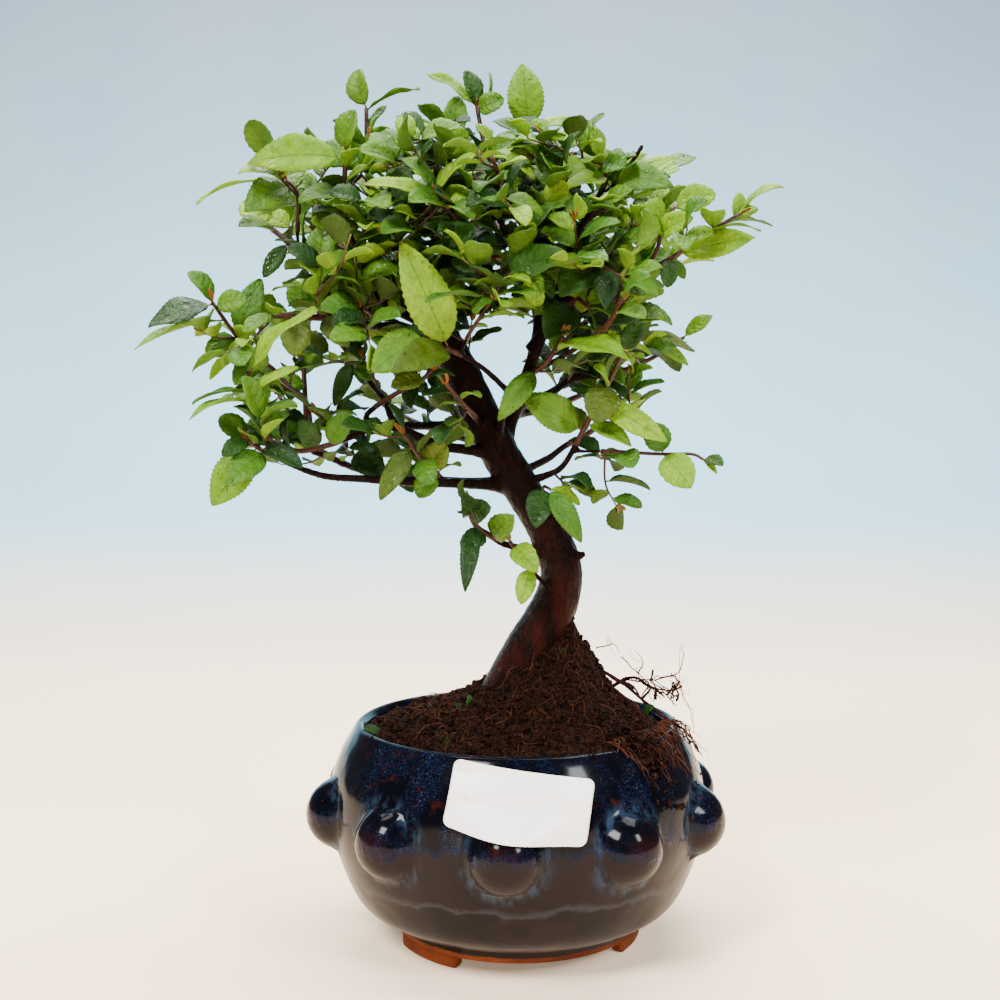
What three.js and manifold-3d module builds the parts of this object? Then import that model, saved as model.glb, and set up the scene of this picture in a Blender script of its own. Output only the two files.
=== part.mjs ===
// A Chinese sweet plum bonsai, Sageretia, in its round glazed pot. Millimetres, +Z up, seen from the front along +Y.
// The origin is on the ground under the middle of the tree and pot together, so the pot's axis stands to its right.
import * as THREE from "three";
import { mergeVertices } from "three/addons/utils/BufferGeometryUtils.js";
import Module from "manifold-3d";

const wasm = await Module();
wasm.setup();

// Driving sizes of the whole piece
const POT_AXIS_X = 22;
const GAP = 0.3;
const FRONT = -Math.PI / 2;

// Pot: profile points are [radius, height], from the foot ring up to the lip and down the inside
const POT_SIDES = 30;
const LIP_HEIGHT = 80.4;
const OUTER_WALL = [
  [48.5, 9], [54.5, 11.5], [61.5, 17], [67.5, 30], [71.3, 45], [70.6, 59],
  [67.4, 69], [63.6, 76], [61.2, 79.6], [59.8, LIP_HEIGHT],
];
const INNER_WALL = [[58.3, 79.4], [57.8, 76], [64, 63], [65, 46], [59, 26], [46, 16]];
const FOOT_RING = [[0, 9], [40.5, 9], [41.5, 4.5], [47.4, 4.5]];
const FLOOR_HEIGHT = 15;
const FOOT_CENTRES_DEG = [-47, 73, 193];
const FOOT_SPAN_DEG = 40;
const FOOT_HEIGHT = 6;
const FOOT_INNER = 41.8;
const FOOT_OUTER = 47;

// Round bosses pressed on the belly of the pot
const BOSS_COUNT = 10;
const BOSS_RADIUS = 13;
const BOSS_RING = 67.5;
const BOSS_HEIGHT = 49;
const FIRST_BOSS_DEG = -4;

// Soil: a heap that climbs to the right-hand foot of the trunk
const SOIL_EDGE_HEIGHT = 76;
const SOIL_PEAK = [20, 0];
const SOIL_RISE = 45;
const SOIL_REACH = 43;
const SOIL_STEEPNESS = 2.2;
const SOIL_LEFT_STRETCH = 0.43;
const SOIL_DEPTH_STRETCH = 0.5;
const SOIL_RINGS = [52, 40, 30, 22, 13];
const SOIL_LUMP = 0.9;

// Coarse roots that run from the heap over the rim, and the crumbs of soil spilt with them
const ROOTS = [
  { radius: 0.9, route: [[34, -6, 95], [44, -20, 88], [48, -36, 81.5], [50, -45, 80.5], [53, -51, 74]] },
  { radius: 0.8, route: [[30, 4, 100], [44, -4, 92], [54, -14, 84], [61, -20, 80.5], [66, -22, 73]] },
  { radius: 0.8, route: [[36, 2, 92], [42, 0, 96], [50, -4, 95], [56, -8, 90]] },
];
const SPILL = { centre: [41, -41, 79.5], size: [15, 13, 4.2] };

// Label: a blank card stuck on the shoulder, above the front boss
const LABEL = {
  width: 48, height: 24, thickness: 0.6, lift: 0.85, centreHeight: 66.5, tiltDeg: -9.5,
  lean: 0.86, stiffRadius: 66.5, stiffSlope: 0.3,
};

// Trunk: [x, y, z, radius] about the pot's axis, from inside the soil to the cut end high on the left
const TRUNK = [
  [-7, 2, 64, 11], [-5, 0, 78, 14.5], [-1, 0, 91, 13], [4, 0, 104, 11], [10, 0, 116, 9.4],
  [15, 0, 126, 8.7], [17, 1, 135, 8.4], [15, 1, 145, 7.9], [9, 0, 157, 7.1], [1, -2, 170, 7],
  [-7, -3, 183, 7.2], [-15, -3, 199, 7], [-20, -2, 211, 6.5], [-26, 0, 223, 5.9],
  [-34, 3, 236, 5.4], [-42, 5, 247, 4.9], [-46, 6, 255, 4.2],
];
const TRUNK_SIDES = 8;
const TRUNK_STEPS = 22;
const TRUNK_START = 0.003;
const HOLE_STEPS = 9;
const TWIG_SIDES = 3;
const THICK_LIMB = 1.7;
const KNOT = { from: [17, -2, 141], to: [26, -3, 144], radius: [2.6, 1.3] };

// Leaves
const BLADE_THICKNESS = 0.7;
const LARGE_LEAF = 20;
const FOLDED_LEAF = 15;
const PETIOLE_SHARE = 0.1;
const PETIOLE_HALF_WIDTH = 0.45;

// Room that a leaf keeps from other leaves and from wood, beyond the first share of its length
const LEAF_ROOM = 2.4;
const OWN_LEAF_ROOM = 1.2;
const WOOD_ROOM = 1.4;
const OWN_WOOD_ROOM = 0.7;
const THIN_WOOD = 1.2;
const NEAR_BASE = 0.27;
const SAMPLE_STEP = 1.5;
const CELL = 2.7;

// Which way a leaf's upper face looks, and how old the leaf is
const UP = [0, -0.12, 1];
const FRONT_FACE = [0, -1, 0.25];
const TILT = [0, -0.7, 0.7];
const SIDE = [1, -0.2, 0.1];

const branch = (name, startRadius, endRadius, leafyFrom, ruleLeaves, size, route, leaves) =>
  ({ name, startRadius, endRadius, leafyFrom, ruleLeaves, size, route, leaves });
const leaf = (at, tip, width, face) => ({ at, tip, width, face });

// Branches: name, radius at the start and the end, share of the route that is bare wood, number and length of
// the leaves set by rule, and the route about the pot's axis. Leaves placed by hand follow, each with its place
// along the route, its tip, its width and the way that it faces.
const BRANCHES = [
  branch("left_low", 2.6, 0.8, 0.8, 3, [10, 13],
    [[-4, -2, 170], [-21, -10, 171], [-42, -18, 172], [-57, -23, 173], [-69, -27, 174],
     [-78, -30, 177], [-84, -33, 180], [-90, -35, 183], [-95, -36, 187]],
    [leaf(0.92, [-107, -40, 164], 14, FRONT_FACE), leaf(0.86, [-100, -45, 171], 11, FRONT_FACE),
     leaf(1.0, [-102, -42, 181], 6.5, FRONT_FACE), leaf(0.9, [-75, -42, 177], 8, TILT)]),
  branch("left_rise", 1.1, 0.7, 0.2, 2, [10, 13],
    [[-82, -32, 179], [-86, -31, 185], [-91, -33, 190], [-93, -37, 201], [-94, -39, 211]],
    [leaf(0.97, [-68, -50, 231], 7.5, TILT), leaf(0.8, [-112, -46, 199], 6, UP),
     leaf(0.72, [-112, -50, 194], 6.5, UP), leaf(0.75, [-76, -44, 212], 6, TILT)]),
  branch("left_inner", 2.4, 0.8, 0.62, 4, [11, 15],
    [[-4, 0, 172], [-18, 6, 171], [-45, 14, 173], [-63, 20, 176], [-76, 26, 181], [-82, 27, 183],
     [-84, 28, 187], [-85, 30, 202], [-86, 32, 217], [-87, 33, 230], [-88, 34, 239]],
    [leaf(0.88, [-75, 26, 223], 10, FRONT_FACE), leaf(0.76, [-95, 26, 207], 9, FRONT_FACE)]),
  branch("left_reach", 1.3, 0.7, 0.3, 3, [11, 15],
    [[-82, 27, 183], [-82, 25, 193], [-83, 19, 203], [-88, 8, 208], [-92, -4, 214], [-99, -14, 220],
     [-103, -21, 226], [-109, -28, 236]],
    [leaf(0.92, [-133, -40, 218], 9, UP), leaf(0.99, [-129, -30, 226], 13, TILT),
     leaf(0.98, [-96, -30, 237], 8.5, FRONT_FACE), leaf(0.8, [-94, -16, 246], 11, FRONT_FACE),
     leaf(0.8, [-112, -26, 217], 9.5, FRONT_FACE), leaf(0.71, [-113, -16, 209], 6, TILT),
     leaf(0.65, [-103, -24, 207], 9, FRONT_FACE)]),
  branch("left_fork", 2.8, 0.9, 0.68, 3, [10, 13],
    [[-8, -5, 180], [-15, -9, 183], [-28, -14, 185], [-43, -19, 191], [-51, -21, 192], [-61, -23, 188],
     [-69, -25, 185], [-79, -26, 183], [-85, -26, 186]],
    [leaf(0.78, [-78, -30, 194], 8, FRONT_FACE), leaf(0.74, [-59, -30, 197], 9, FRONT_FACE)]),
  branch("left_curl", 1.6, 0.8, 0.42, 3, [10, 13],
    [[-51, -21, 192], [-55, -23, 195], [-51, -27, 199], [-42, -33, 204], [-35, -38, 207],
     [-30, -42, 211]],
    [leaf(0.88, [-44, -46, 205], 7, FRONT_FACE)]),
  branch("left_hang", 1.1, 0.7, 0.22, 2, [10, 13],
    [[-25, -12, 171], [-30, -19, 175], [-34, -24, 179], [-38, -28, 185], [-41, -30, 189]],
    [leaf(0.75, [-49, -34, 166], 8.5, FRONT_FACE), leaf(0.28, [-36, -24, 166], 8.5, FRONT_FACE),
     leaf(0.37, [-26, -30, 186], 10, FRONT_FACE), leaf(0.56, [-31, -36, 171], 9, FRONT_FACE)]),
  branch("left_back", 2.4, 0.9, 0.62, 3, [11, 15],
    [[-16, 0, 194], [-30, 9, 193], [-47, 17, 194], [-52, 20, 203], [-58, 24, 210], [-68, 30, 223],
     [-77, 36, 234], [-84, 41, 245]],
    [leaf(0.68, [-73, 28, 201], 7, FRONT_FACE), leaf(0.73, [-58, 22, 229], 9, FRONT_FACE)]),
  branch("left_mid", 2.4, 0.9, 0.5, 3, [11, 15],
    [[-30, -1, 226], [-44, -10, 229], [-54, -15, 229], [-66, -20, 231], [-78, -26, 231],
     [-86, -30, 231], [-91, -33, 228]],
    [leaf(0.67, [-79, -32, 216], 11, FRONT_FACE), leaf(0.84, [-96, -38, 224], 7, TILT),
     leaf(0.56, [-60, -30, 220], 9, FRONT_FACE)]),
  branch("left_mid_leaf", 1.0, 0.6, 0.3, 2, [11, 15],
    [[-52, -14, 229], [-53, -20, 232], [-54, -26, 233], [-56, -30, 234]],
    [leaf(1.0, [-69, -42, 232], 9.5, FRONT_FACE)]),
  branch("left_top_stub", 1.8, 1.0, 0.68, 3, [12, 17],
    [[-63, -19, 231], [-69, -18, 239], [-74, -14, 249], [-81, -10, 256], [-87, -7, 262],
     [-93, -5, 267]],
    [leaf(0.74, [-94, -14, 247], 6.5, FRONT_FACE)]),
  branch("left_top_twig", 1.1, 0.6, 0.25, 2, [12, 17],
    [[-81, -10, 256], [-81, -12, 265], [-80, -15, 273], [-81, -17, 278], [-84, -19, 281]],
    [leaf(0.87, [-97, -28, 268], 13, FRONT_FACE), leaf(0.84, [-115, -26, 272], 5, UP),
     leaf(0.48, [-94, -20, 268], 8, TILT)]),
  branch("left_crown", 2.6, 0.8, 0.48, 4, [12, 17],
    [[-35, 1, 232], [-49, -8, 238], [-56, -14, 251], [-62, -20, 264], [-62, -25, 278], [-61, -29, 289]],
    [leaf(0.95, [-94, -36, 283], 14, FRONT_FACE), leaf(0.76, [-77, -34, 270], 10, TILT),
     leaf(0.6, [-73, -32, 264], 8, FRONT_FACE), leaf(0.89, [-71, -20, 294], 12, FRONT_FACE)]),
  branch("crown_spike", 1.3, 0.8, 0.22, 3, [12, 17],
    [[-56, -14, 251], [-53, -8, 263], [-55, -6, 276], [-56, -6, 291], [-56, -7, 310]],
    [leaf(0.99, [-36, -12, 316], 5, UP), leaf(0.9, [-49, -2, 312], 3.5, TILT),
     leaf(0.71, [-68, -10, 298], 14, FRONT_FACE), leaf(0.71, [-44, 2, 300], 12, FRONT_FACE)]),
  branch("crown_left_up", 2.6, 0.8, 0.48, 4, [12, 17],
    [[-44, 6, 253], [-39, 4, 263], [-32, 0, 274], [-27, -4, 284], [-25, -6, 293], [-25, -7, 298]],
    [leaf(0.94, [-25, -4, 308], 4, SIDE), leaf(0.59, [-41, -12, 295], 6, TILT)]),
  branch("crown_front", 1.5, 0.8, 0.35, 3, [12, 17],
    [[-39, 4, 263], [-33, -10, 260], [-27, -22, 260], [-21, -32, 262], [-25, -38, 267],
     [-29, -42, 271]],
    [leaf(0.67, [-22, -44, 253], 13.5, FRONT_FACE), leaf(1.0, [-14, -46, 284], 6, TILT),
     leaf(1.0, [-52, -50, 273], 8, TILT)]),
  branch("front_red", 2.0, 0.8, 0.725, 2, [11, 15],
    [[-7, -6, 184], [-6, -13, 195], [-3, -17, 203], [-7, -21, 208], [-13, -27, 213], [-20, -32, 217],
     [-28, -37, 220], [-32, -40, 223]],
    [leaf(1.0, [-50, -50, 210], 15, FRONT_FACE), leaf(0.79, [-42, -46, 209], 12, FRONT_FACE),
     leaf(0.79, [-40, -46, 254], 16, FRONT_FACE)]),
  branch("front_green", 0.9, 0.6, 0.25, 1, [12, 17],
    [[-20, -32, 217], [-18, -35, 223], [-11, -39, 233], [-6, -42, 241], [-1, -44, 246]],
    [leaf(0.55, [-31, -52, 231], 8, UP), leaf(0.39, [2, -40, 229], 7, UP),
     leaf(0.85, [15, -50, 251], 11, FRONT_FACE)]),
  branch("front_red_right", 1.4, 0.8, 0.3, 2, [11, 15],
    [[-3, -17, 203], [4, -20, 210], [10, -23, 215], [14, -26, 220], [16, -28, 224]],
    [leaf(0.66, [37, -40, 213], 10, TILT), leaf(0.36, [-7, -32, 194], 9, FRONT_FACE)]),
  branch("right_low", 2.0, 0.7, 0.46, 2, [11, 15],
    [[4, -3, 172], [11, -9, 174], [17, -15, 178], [23, -20, 189], [28, -25, 199], [33, -29, 209],
     [37, -32, 218]],
    [leaf(0.7, [52, -38, 186], 9.5, FRONT_FACE), leaf(0.8, [27, -34, 193], 13, FRONT_FACE),
     leaf(0.52, [1, -26, 203], 13, FRONT_FACE), leaf(0.56, [40, -32, 185], 8, TILT)]),
  branch("right_thread", 0.9, 0.5, 0.22, 1, [8, 10],
    [[20, -17, 183], [33, -23, 183], [50, -30, 182], [61, -34, 182], [65, -37, 180]],
    [leaf(0.53, [60, -36, 170], 12.5, FRONT_FACE), leaf(0.53, [47, -34, 193], 10, FRONT_FACE),
     leaf(0.32, [41, -28, 177], 9, FRONT_FACE), leaf(0.96, [69, -40, 175], 2.5, TILT)]),
  branch("right_low_back", 2.0, 0.9, 0.42, 3, [11, 15],
    [[1, 0, 175], [12, 10, 180], [19, 15, 185], [30, 21, 191], [37, 25, 199], [43, 28, 207]],
    [leaf(0.58, [20, 26, 200], 8, FRONT_FACE)]),
  branch("trunk_long_leaf", 1.0, 0.6, 0.45, 0, [8, 10],
    [[6, -4, 168], [9, -11, 169], [10, -14, 170], [12, -17, 169]],
    [leaf(0.91, [23, -24, 150], 8.5, FRONT_FACE), leaf(0.51, [6, -24, 155], 10, FRONT_FACE),
     leaf(0.91, [23, -12, 163], 6, TILT)]),
  branch("low_left", 1.9, 0.8, 0.35, 2, [8, 10],
    [[11, -1, 144], [-4, -9, 148], [-9, -12, 151], [-15, -15, 155], [-18, -16, 161], [-19, -17, 165]],
    [leaf(0.49, [-21, -18, 148], 8, FRONT_FACE), leaf(0.65, [-19, -24, 133], 7, FRONT_FACE),
     leaf(0.74, [-10, -20, 163], 9, FRONT_FACE), leaf(0.41, [-1, -20, 160], 10, FRONT_FACE),
     leaf(0.78, [-20, -20, 169], 8, FRONT_FACE)]),
  branch("low_left_twig", 1.3, 0.7, 0.35, 1, [8, 9],
    [[13, -4, 130], [6, -12, 138], [1, -16, 145], [-3, -18, 150]],
    [leaf(0.87, [7, -30, 140], 9, FRONT_FACE), leaf(0.41, [1, -22, 127], 7.5, FRONT_FACE)]),
  branch("leader", 4.2, 0.7, 0.66, 4, [12, 17],
    [[-7, 0, 184], [-2, 4, 197], [3, 4, 209], [6, 2, 219], [8, 3, 231], [6, 8, 245], [4, 12, 259],
     [4, 14, 272], [5, 12, 284], [4, 8, 296], [4, 5, 305]],
    [leaf(0.99, [2, 2, 329], 14, FRONT_FACE), leaf(0.98, [24, 0, 306], 8, TILT),
     leaf(0.9, [18, -8, 291], 12, FRONT_FACE), leaf(0.92, [-8, 4, 302], 8, TILT)]),
  branch("right_mid_back", 2.4, 0.9, 0.45, 3, [11, 15],
    [[0, 4, 201], [12, 14, 205], [22, 21, 212], [34, 27, 219], [45, 31, 227], [50, 33, 234],
     [52, 34, 244]],
    [leaf(0.77, [71, 24, 222], 7, TILT), leaf(0.74, [69, 20, 217], 8, TILT),
     leaf(0.93, [42, 28, 247], 10, FRONT_FACE), leaf(1.0, [57, 30, 250], 8, FRONT_FACE)]),
  branch("crown_mid", 1.8, 0.8, 0.35, 4, [12, 17],
    [[6, 8, 245], [0, 1, 257], [-7, -5, 271], [-11, -8, 289], [-15, -8, 310]],
    [leaf(1.0, [-33, -12, 321], 7, TILT), leaf(0.98, [-5, -12, 312], 8.5, FRONT_FACE),
     leaf(0.97, [-11, -4, 324], 4, SIDE), leaf(0.8, [6, -30, 279], 8, TILT)]),
  branch("right_crown", 2.6, 0.8, 0.76, 4, [12, 17],
    [[6, 2, 221], [13, -4, 234], [16, -8, 247], [20, -12, 259], [25, -16, 268], [29, -18, 275],
     [32, -20, 282], [29, -22, 288]],
    [leaf(0.95, [38, -30, 283], 11, FRONT_FACE), leaf(1.0, [25, -24, 299], 7, TILT),
     leaf(0.85, [17, -36, 275], 10, TILT), leaf(0.86, [54, -34, 276], 11.5, FRONT_FACE)]),
  branch("right_stub", 1.3, 1.0, 1, 0, [8, 10],
    [[28, -17, 273], [33, -19, 277], [38, -20, 283], [45, -22, 293]],
    []),
  branch("right_reach", 1.9, 0.6, 0.5, 3, [12, 17],
    [[14, -5, 238], [25, -14, 241], [36, -22, 244], [45, -28, 247], [54, -33, 251], [66, -38, 259],
     [73, -41, 263], [77, -42, 265]],
    [leaf(0.59, [81, -44, 256], 10.5, FRONT_FACE), leaf(0.7, [80, -50, 256], 5, UP),
     leaf(0.75, [89, -38, 262], 5, UP), leaf(0.96, [80, -43, 266], 1.6, TILT),
     leaf(0.56, [52, -36, 240], 6.5, FRONT_FACE), leaf(0.56, [59, -38, 244], 6, TILT)]),
  branch("right_reach_up", 1.0, 0.7, 0.2, 2, [12, 17],
    [[45, -28, 247], [49, -30, 254], [51, -31, 262], [55, -32, 269]],
    [leaf(0.7, [42, -40, 266], 13, FRONT_FACE), leaf(0.97, [69, -34, 273], 10, FRONT_FACE),
     leaf(0.54, [60, -36, 263], 9, FRONT_FACE)]),
  branch("right_mid", 1.5, 0.8, 0.25, 2, [12, 17],
    [[16, -8, 247], [22, -18, 250], [26, -28, 250], [30, -36, 247], [35, -42, 243]],
    [leaf(0.55, [14, -42, 236], 14, FRONT_FACE), leaf(0.77, [29, -44, 231], 9, FRONT_FACE),
     leaf(0.34, [30, -36, 257], 10, TILT), leaf(0.96, [49, -48, 245], 8, TILT)]),
  branch("right_mid_low", 1.3, 0.8, 0.28, 2, [12, 17],
    [[13, -4, 234], [18, -14, 234], [21, -22, 238], [25, -30, 234]],
    [leaf(0.52, [10, -30, 223], 14, FRONT_FACE), leaf(0.96, [27, -32, 220], 4, SIDE)]),
  branch("back_low_left", 2.4, 0.9, 0.45, 5, [11, 15],
    [[-7, -2, 183], [-14, 12, 186], [-28, 28, 190], [-44, 42, 196], [-56, 52, 204]],
    []),
  branch("back_low_right", 2.4, 0.9, 0.42, 5, [11, 15],
    [[-2, 4, 197], [8, 18, 199], [20, 34, 203], [32, 46, 209], [40, 56, 217]],
    []),
  branch("back_mid", 2.4, 0.9, 0.42, 5, [11, 15],
    [[-20, -2, 211], [-20, 14, 215], [-21, 32, 222], [-24, 48, 231], [-25, 60, 240]],
    []),
  branch("back_mid_left", 2.2, 0.9, 0.42, 5, [11, 15],
    [[-27, 1, 225], [-38, 16, 230], [-54, 32, 237], [-70, 42, 245], [-82, 46, 254]],
    []),
  branch("back_far_left", 1.3, 0.8, 0.25, 5, [11, 15],
    [[-69, 23, 178], [-80, 34, 184], [-90, 40, 194], [-98, 42, 206]],
    []),
  branch("back_top_left", 2.2, 0.9, 0.3, 5, [12, 17],
    [[-43, 5, 249], [-48, 20, 256], [-56, 34, 267], [-62, 42, 281]],
    []),
  branch("left_top_back", 2.2, 0.8, 0.3, 5, [12, 17],
    [[-45, 6, 252], [-60, 14, 258], [-76, 20, 266], [-90, 22, 276]],
    []),
  branch("back_top", 1.8, 0.8, 0.28, 5, [12, 17],
    [[4, 12, 258], [-5, 24, 269], [-11, 38, 282], [-15, 48, 296]],
    []),
  branch("back_top_right", 2.0, 0.9, 0.3, 5, [12, 17],
    [[6, 7, 243], [17, 22, 253], [28, 36, 265], [37, 46, 279]],
    []),
  branch("back_right", 2.0, 0.9, 0.4, 5, [11, 15],
    [[8, 3, 231], [22, 14, 236], [38, 25, 243], [52, 34, 251], [64, 40, 260]],
    []),
  branch("front_low", 1.8, 0.8, 0.4, 4, [10, 13],
    [[-12, -3, 192], [-15, -16, 195], [-19, -32, 199], [-25, -46, 206]],
    []),
  branch("front_right", 1.6, 0.8, 0.42, 4, [11, 15],
    [[4, 3, 212], [11, -9, 215], [21, -26, 220], [30, -42, 226], [35, -54, 234]],
    []),
  branch("front_top", 1.5, 0.8, 0.38, 5, [12, 17],
    [[6, 9, 247], [5, -8, 256], [1, -26, 264], [-5, -42, 272], [-9, -54, 281]],
    []),
  branch("crown_back_mid", 1.5, 0.8, 0.28, 5, [12, 17],
    [[-40, 4, 262], [-36, 18, 272], [-33, 26, 284], [-30, 30, 298]],
    []),
  branch("right_top_back", 1.4, 0.8, 0.25, 5, [12, 17],
    [[25, -16, 268], [36, -8, 276], [47, 2, 283], [58, 12, 291]],
    []),
  branch("right_far_back", 1.4, 0.8, 0.25, 5, [11, 15],
    [[22, 21, 212], [38, 27, 214], [54, 31, 220], [68, 33, 229]],
    []),
];

// Small vector helpers
const vec = (p) => new THREE.Vector3(p[0], p[1], p[2]);
const radians = THREE.MathUtils.degToRad;

// A seeded source of numbers between 0 and 1, the same on every run
function seeded(seed) {
  let state = (seed * 7919 + 12345) % 4294967296;
  const next = () => {
    state = (state * 1664525 + 1013904223) % 4294967296;
    return state / 4294967296;
  };
  next();
  next();
  return next;
}

// Solids

// Shared vertices merged and collapsed triangles dropped, as a closed solid
function solid(geometry) {
  const bare = geometry.clone();
  bare.deleteAttribute("normal");
  bare.deleteAttribute("uv");
  const merged = mergeVertices(bare, 1e-4);
  const index = merged.index.array;
  const kept = [];
  for (let i = 0; i < index.length; i += 3) {
    const [a, b, c] = [index[i], index[i + 1], index[i + 2]];
    if (a !== b && b !== c && c !== a) kept.push(a, b, c);
  }
  const vertProperties = merged.attributes.position.array;
  return new wasm.Manifold(new wasm.Mesh({ numProp: 3, vertProperties, triVerts: new Uint32Array(kept) }));
}

function joined(solids) {
  return solids.reduce((whole, next) => whole.add(next));
}

// The largest body of a solid: what is left once loose scraps are dropped
function largestBody(whole) {
  return whole.decompose().reduce((best, body) => (body.volume() > best.volume() ? body : best));
}

function meshOf(name, whole, material) {
  const body = largestBody(whole).getMesh();
  const geometry = new THREE.BufferGeometry();
  geometry.setAttribute("position", new THREE.BufferAttribute(new Float32Array(body.vertProperties), 3));
  geometry.setIndex(new THREE.BufferAttribute(new Uint32Array(body.triVerts), 1));
  geometry.computeVertexNormals();
  const mesh = new THREE.Mesh(geometry, material);
  mesh.name = name;
  return mesh;
}

function moveVertices(geometry, place) {
  const positions = geometry.attributes.position;
  const point = new THREE.Vector3();
  for (let i = 0; i < positions.count; i++) {
    point.fromBufferAttribute(positions, i);
    place(point);
    positions.setXYZ(i, point.x, point.y, point.z);
  }
  return geometry;
}

// A turned solid about +Z from [radius, height] points that run outwards first
function turned(profile, sides) {
  const points = profile.map(([radius, height]) => new THREE.Vector2(radius, height));
  return new THREE.LatheGeometry(points, sides).rotateX(Math.PI / 2);
}

// Places along a curve, from 0 to 1, where the rings of a stem stand: evenly spaced, or at its route's points
function evenStops(from, to, steps) {
  return Array.from({ length: steps + 1 }, (_, i) => from + ((to - from) * i) / steps);
}

function routeStops(route, from, to) {
  const points = route.map((_, i) => i / (route.length - 1));
  return [from, ...points.filter((place) => place > from + 0.03 && place < to - 0.03), to];
}

// The axis that a curve mostly bends about, which keeps the rings along it from twisting
function hingeOf(curve, stops) {
  const first = curve.getTangent(stops[0]);
  const hinge = new THREE.Vector3().crossVectors(first, curve.getTangent(stops.at(-1)));
  if (hinge.length() < 0.05) hinge.crossVectors(first, new THREE.Vector3(0.2, 1, 0.1));
  return hinge.normalize();
}

// A tapering round stem along a curve, closed at both ends
function stem(curve, stops, radiusAt, sides, hinge = hingeOf(curve, stops)) {
  const outline = new THREE.Shape();
  for (let i = 0; i < sides; i++) {
    const angle = (i * 2 * Math.PI) / sides;
    if (i === 0) outline.moveTo(Math.cos(angle), Math.sin(angle));
    else outline.lineTo(Math.cos(angle), Math.sin(angle));
  }
  const steps = stops.length - 1;
  const tube = new THREE.ExtrudeGeometry(outline, { depth: 1, steps, bevelEnabled: false });
  return solid(moveVertices(tube, (point) => {
    const along = stops[Math.round(point.z * steps)];
    const across = new THREE.Vector3().crossVectors(hinge, curve.getTangent(along)).normalize();
    const other = new THREE.Vector3().crossVectors(curve.getTangent(along), across);
    const radius = radiusAt(along, Math.atan2(point.y, point.x));
    const centre = curve.getPoint(along);
    const offset = across.multiplyScalar(point.x * radius).addScaledVector(other, point.y * radius);
    point.copy(centre).add(offset);
  }));
}

// A smooth curve through the points of a route
function curveThrough(route) {
  return new THREE.CatmullRomCurve3(route.map(vec), false, "catmullrom", 0.5);
}

// A thin blade from a mapped grid: both faces are split alike, and the rim joins them. Place gives the point on
// the middle surface and the direction of its thickness for a place across (-1 to 1) and along (0 to 1).
function blade(place, columns, rows, thickness) {
  const sheet = new THREE.PlaneGeometry(2, 1, columns, rows);
  const count = sheet.attributes.position.count;
  const positions = new Float32Array(count * 6);
  for (let i = 0; i < count; i++) {
    const { middle, up } = place(sheet.attributes.position.getX(i), sheet.attributes.position.getY(i) + 0.5);
    for (const [side, start] of [[0.5, i], [-0.5, i + count]]) {
      const point = middle.clone().addScaledVector(up, side * thickness);
      positions.set([point.x, point.y, point.z], start * 3);
    }
  }
  const faces = Array.from(sheet.index.array);
  const triangles = [...faces];
  for (let i = 0; i < faces.length; i += 3) {
    triangles.push(faces[i] + count, faces[i + 2] + count, faces[i + 1] + count);
  }
  const rim = [];
  const width = columns + 1;
  for (let i = 0; i < columns; i++) rim.push([i + 1, i], [rows * width + i, rows * width + i + 1]);
  for (let j = 0; j < rows; j++) {
    rim.push([j * width, (j + 1) * width], [(j + 1) * width + columns, j * width + columns]);
  }
  for (const [a, b] of rim) triangles.push(a, b + count, b, a, a + count, b + count);
  const geometry = new THREE.BufferGeometry();
  geometry.setAttribute("position", new THREE.BufferAttribute(positions, 3));
  geometry.setIndex(triangles);
  return solid(geometry);
}

// Pot

function bosses(radius) {
  const ball = new THREE.SphereGeometry(radius, 9, 6);
  return Array.from({ length: BOSS_COUNT }, (_, i) => {
    const angle = FRONT + radians(FIRST_BOSS_DEG) + (i * 2 * Math.PI) / BOSS_COUNT;
    const turnedBall = ball.clone().rotateX(Math.PI / 2).rotateZ(angle);
    return solid(turnedBall.translate(BOSS_RING * Math.cos(angle), BOSS_RING * Math.sin(angle), BOSS_HEIGHT));
  });
}

function foot(centreDeg) {
  const middle = FRONT + radians(centreDeg);
  const half = radians(FOOT_SPAN_DEG / 2);
  const outline = new THREE.Shape();
  outline.absarc(0, 0, FOOT_OUTER, middle - half, middle + half, false);
  outline.absarc(0, 0, FOOT_INNER, middle + half, middle - half, true);
  return solid(new THREE.ExtrudeGeometry(outline, { depth: FOOT_HEIGHT, bevelEnabled: false, curveSegments: 4 }));
}

function potSolid() {
  const outside = solid(turned([...FOOT_RING, ...OUTER_WALL, [0, OUTER_WALL.at(-1)[1]]], POT_SIDES));
  const mouth = [[0, FLOOR_HEIGHT], ...INNER_WALL.toReversed(), [59.8, 81.4], [0, 81.4]];
  const clay = joined([outside, ...bosses(BOSS_RADIUS)]).subtract(solid(turned(mouth, POT_SIDES)));
  return joined([clay, ...FOOT_CENTRES_DEG.map(foot)]);
}

// Soil and the roots in it

function soilHeight(x, y) {
  const [peakX, peakY] = SOIL_PEAK;
  const across = (x - peakX) * (x < peakX ? SOIL_LEFT_STRETCH : 1);
  const away = Math.hypot(across, (y - peakY) * SOIL_DEPTH_STRETCH);
  const heap = SOIL_RISE * Math.max(0, 1 - away / SOIL_REACH) ** SOIL_STEEPNESS;
  const lumps = Math.sin(x * 0.61 + y * 0.23) + Math.sin(y * 0.53 - x * 0.31 + 1.7) + Math.sin((x + y) * 0.37);
  return SOIL_EDGE_HEIGHT + heap + SOIL_LUMP * lumps * 0.5;
}

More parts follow.
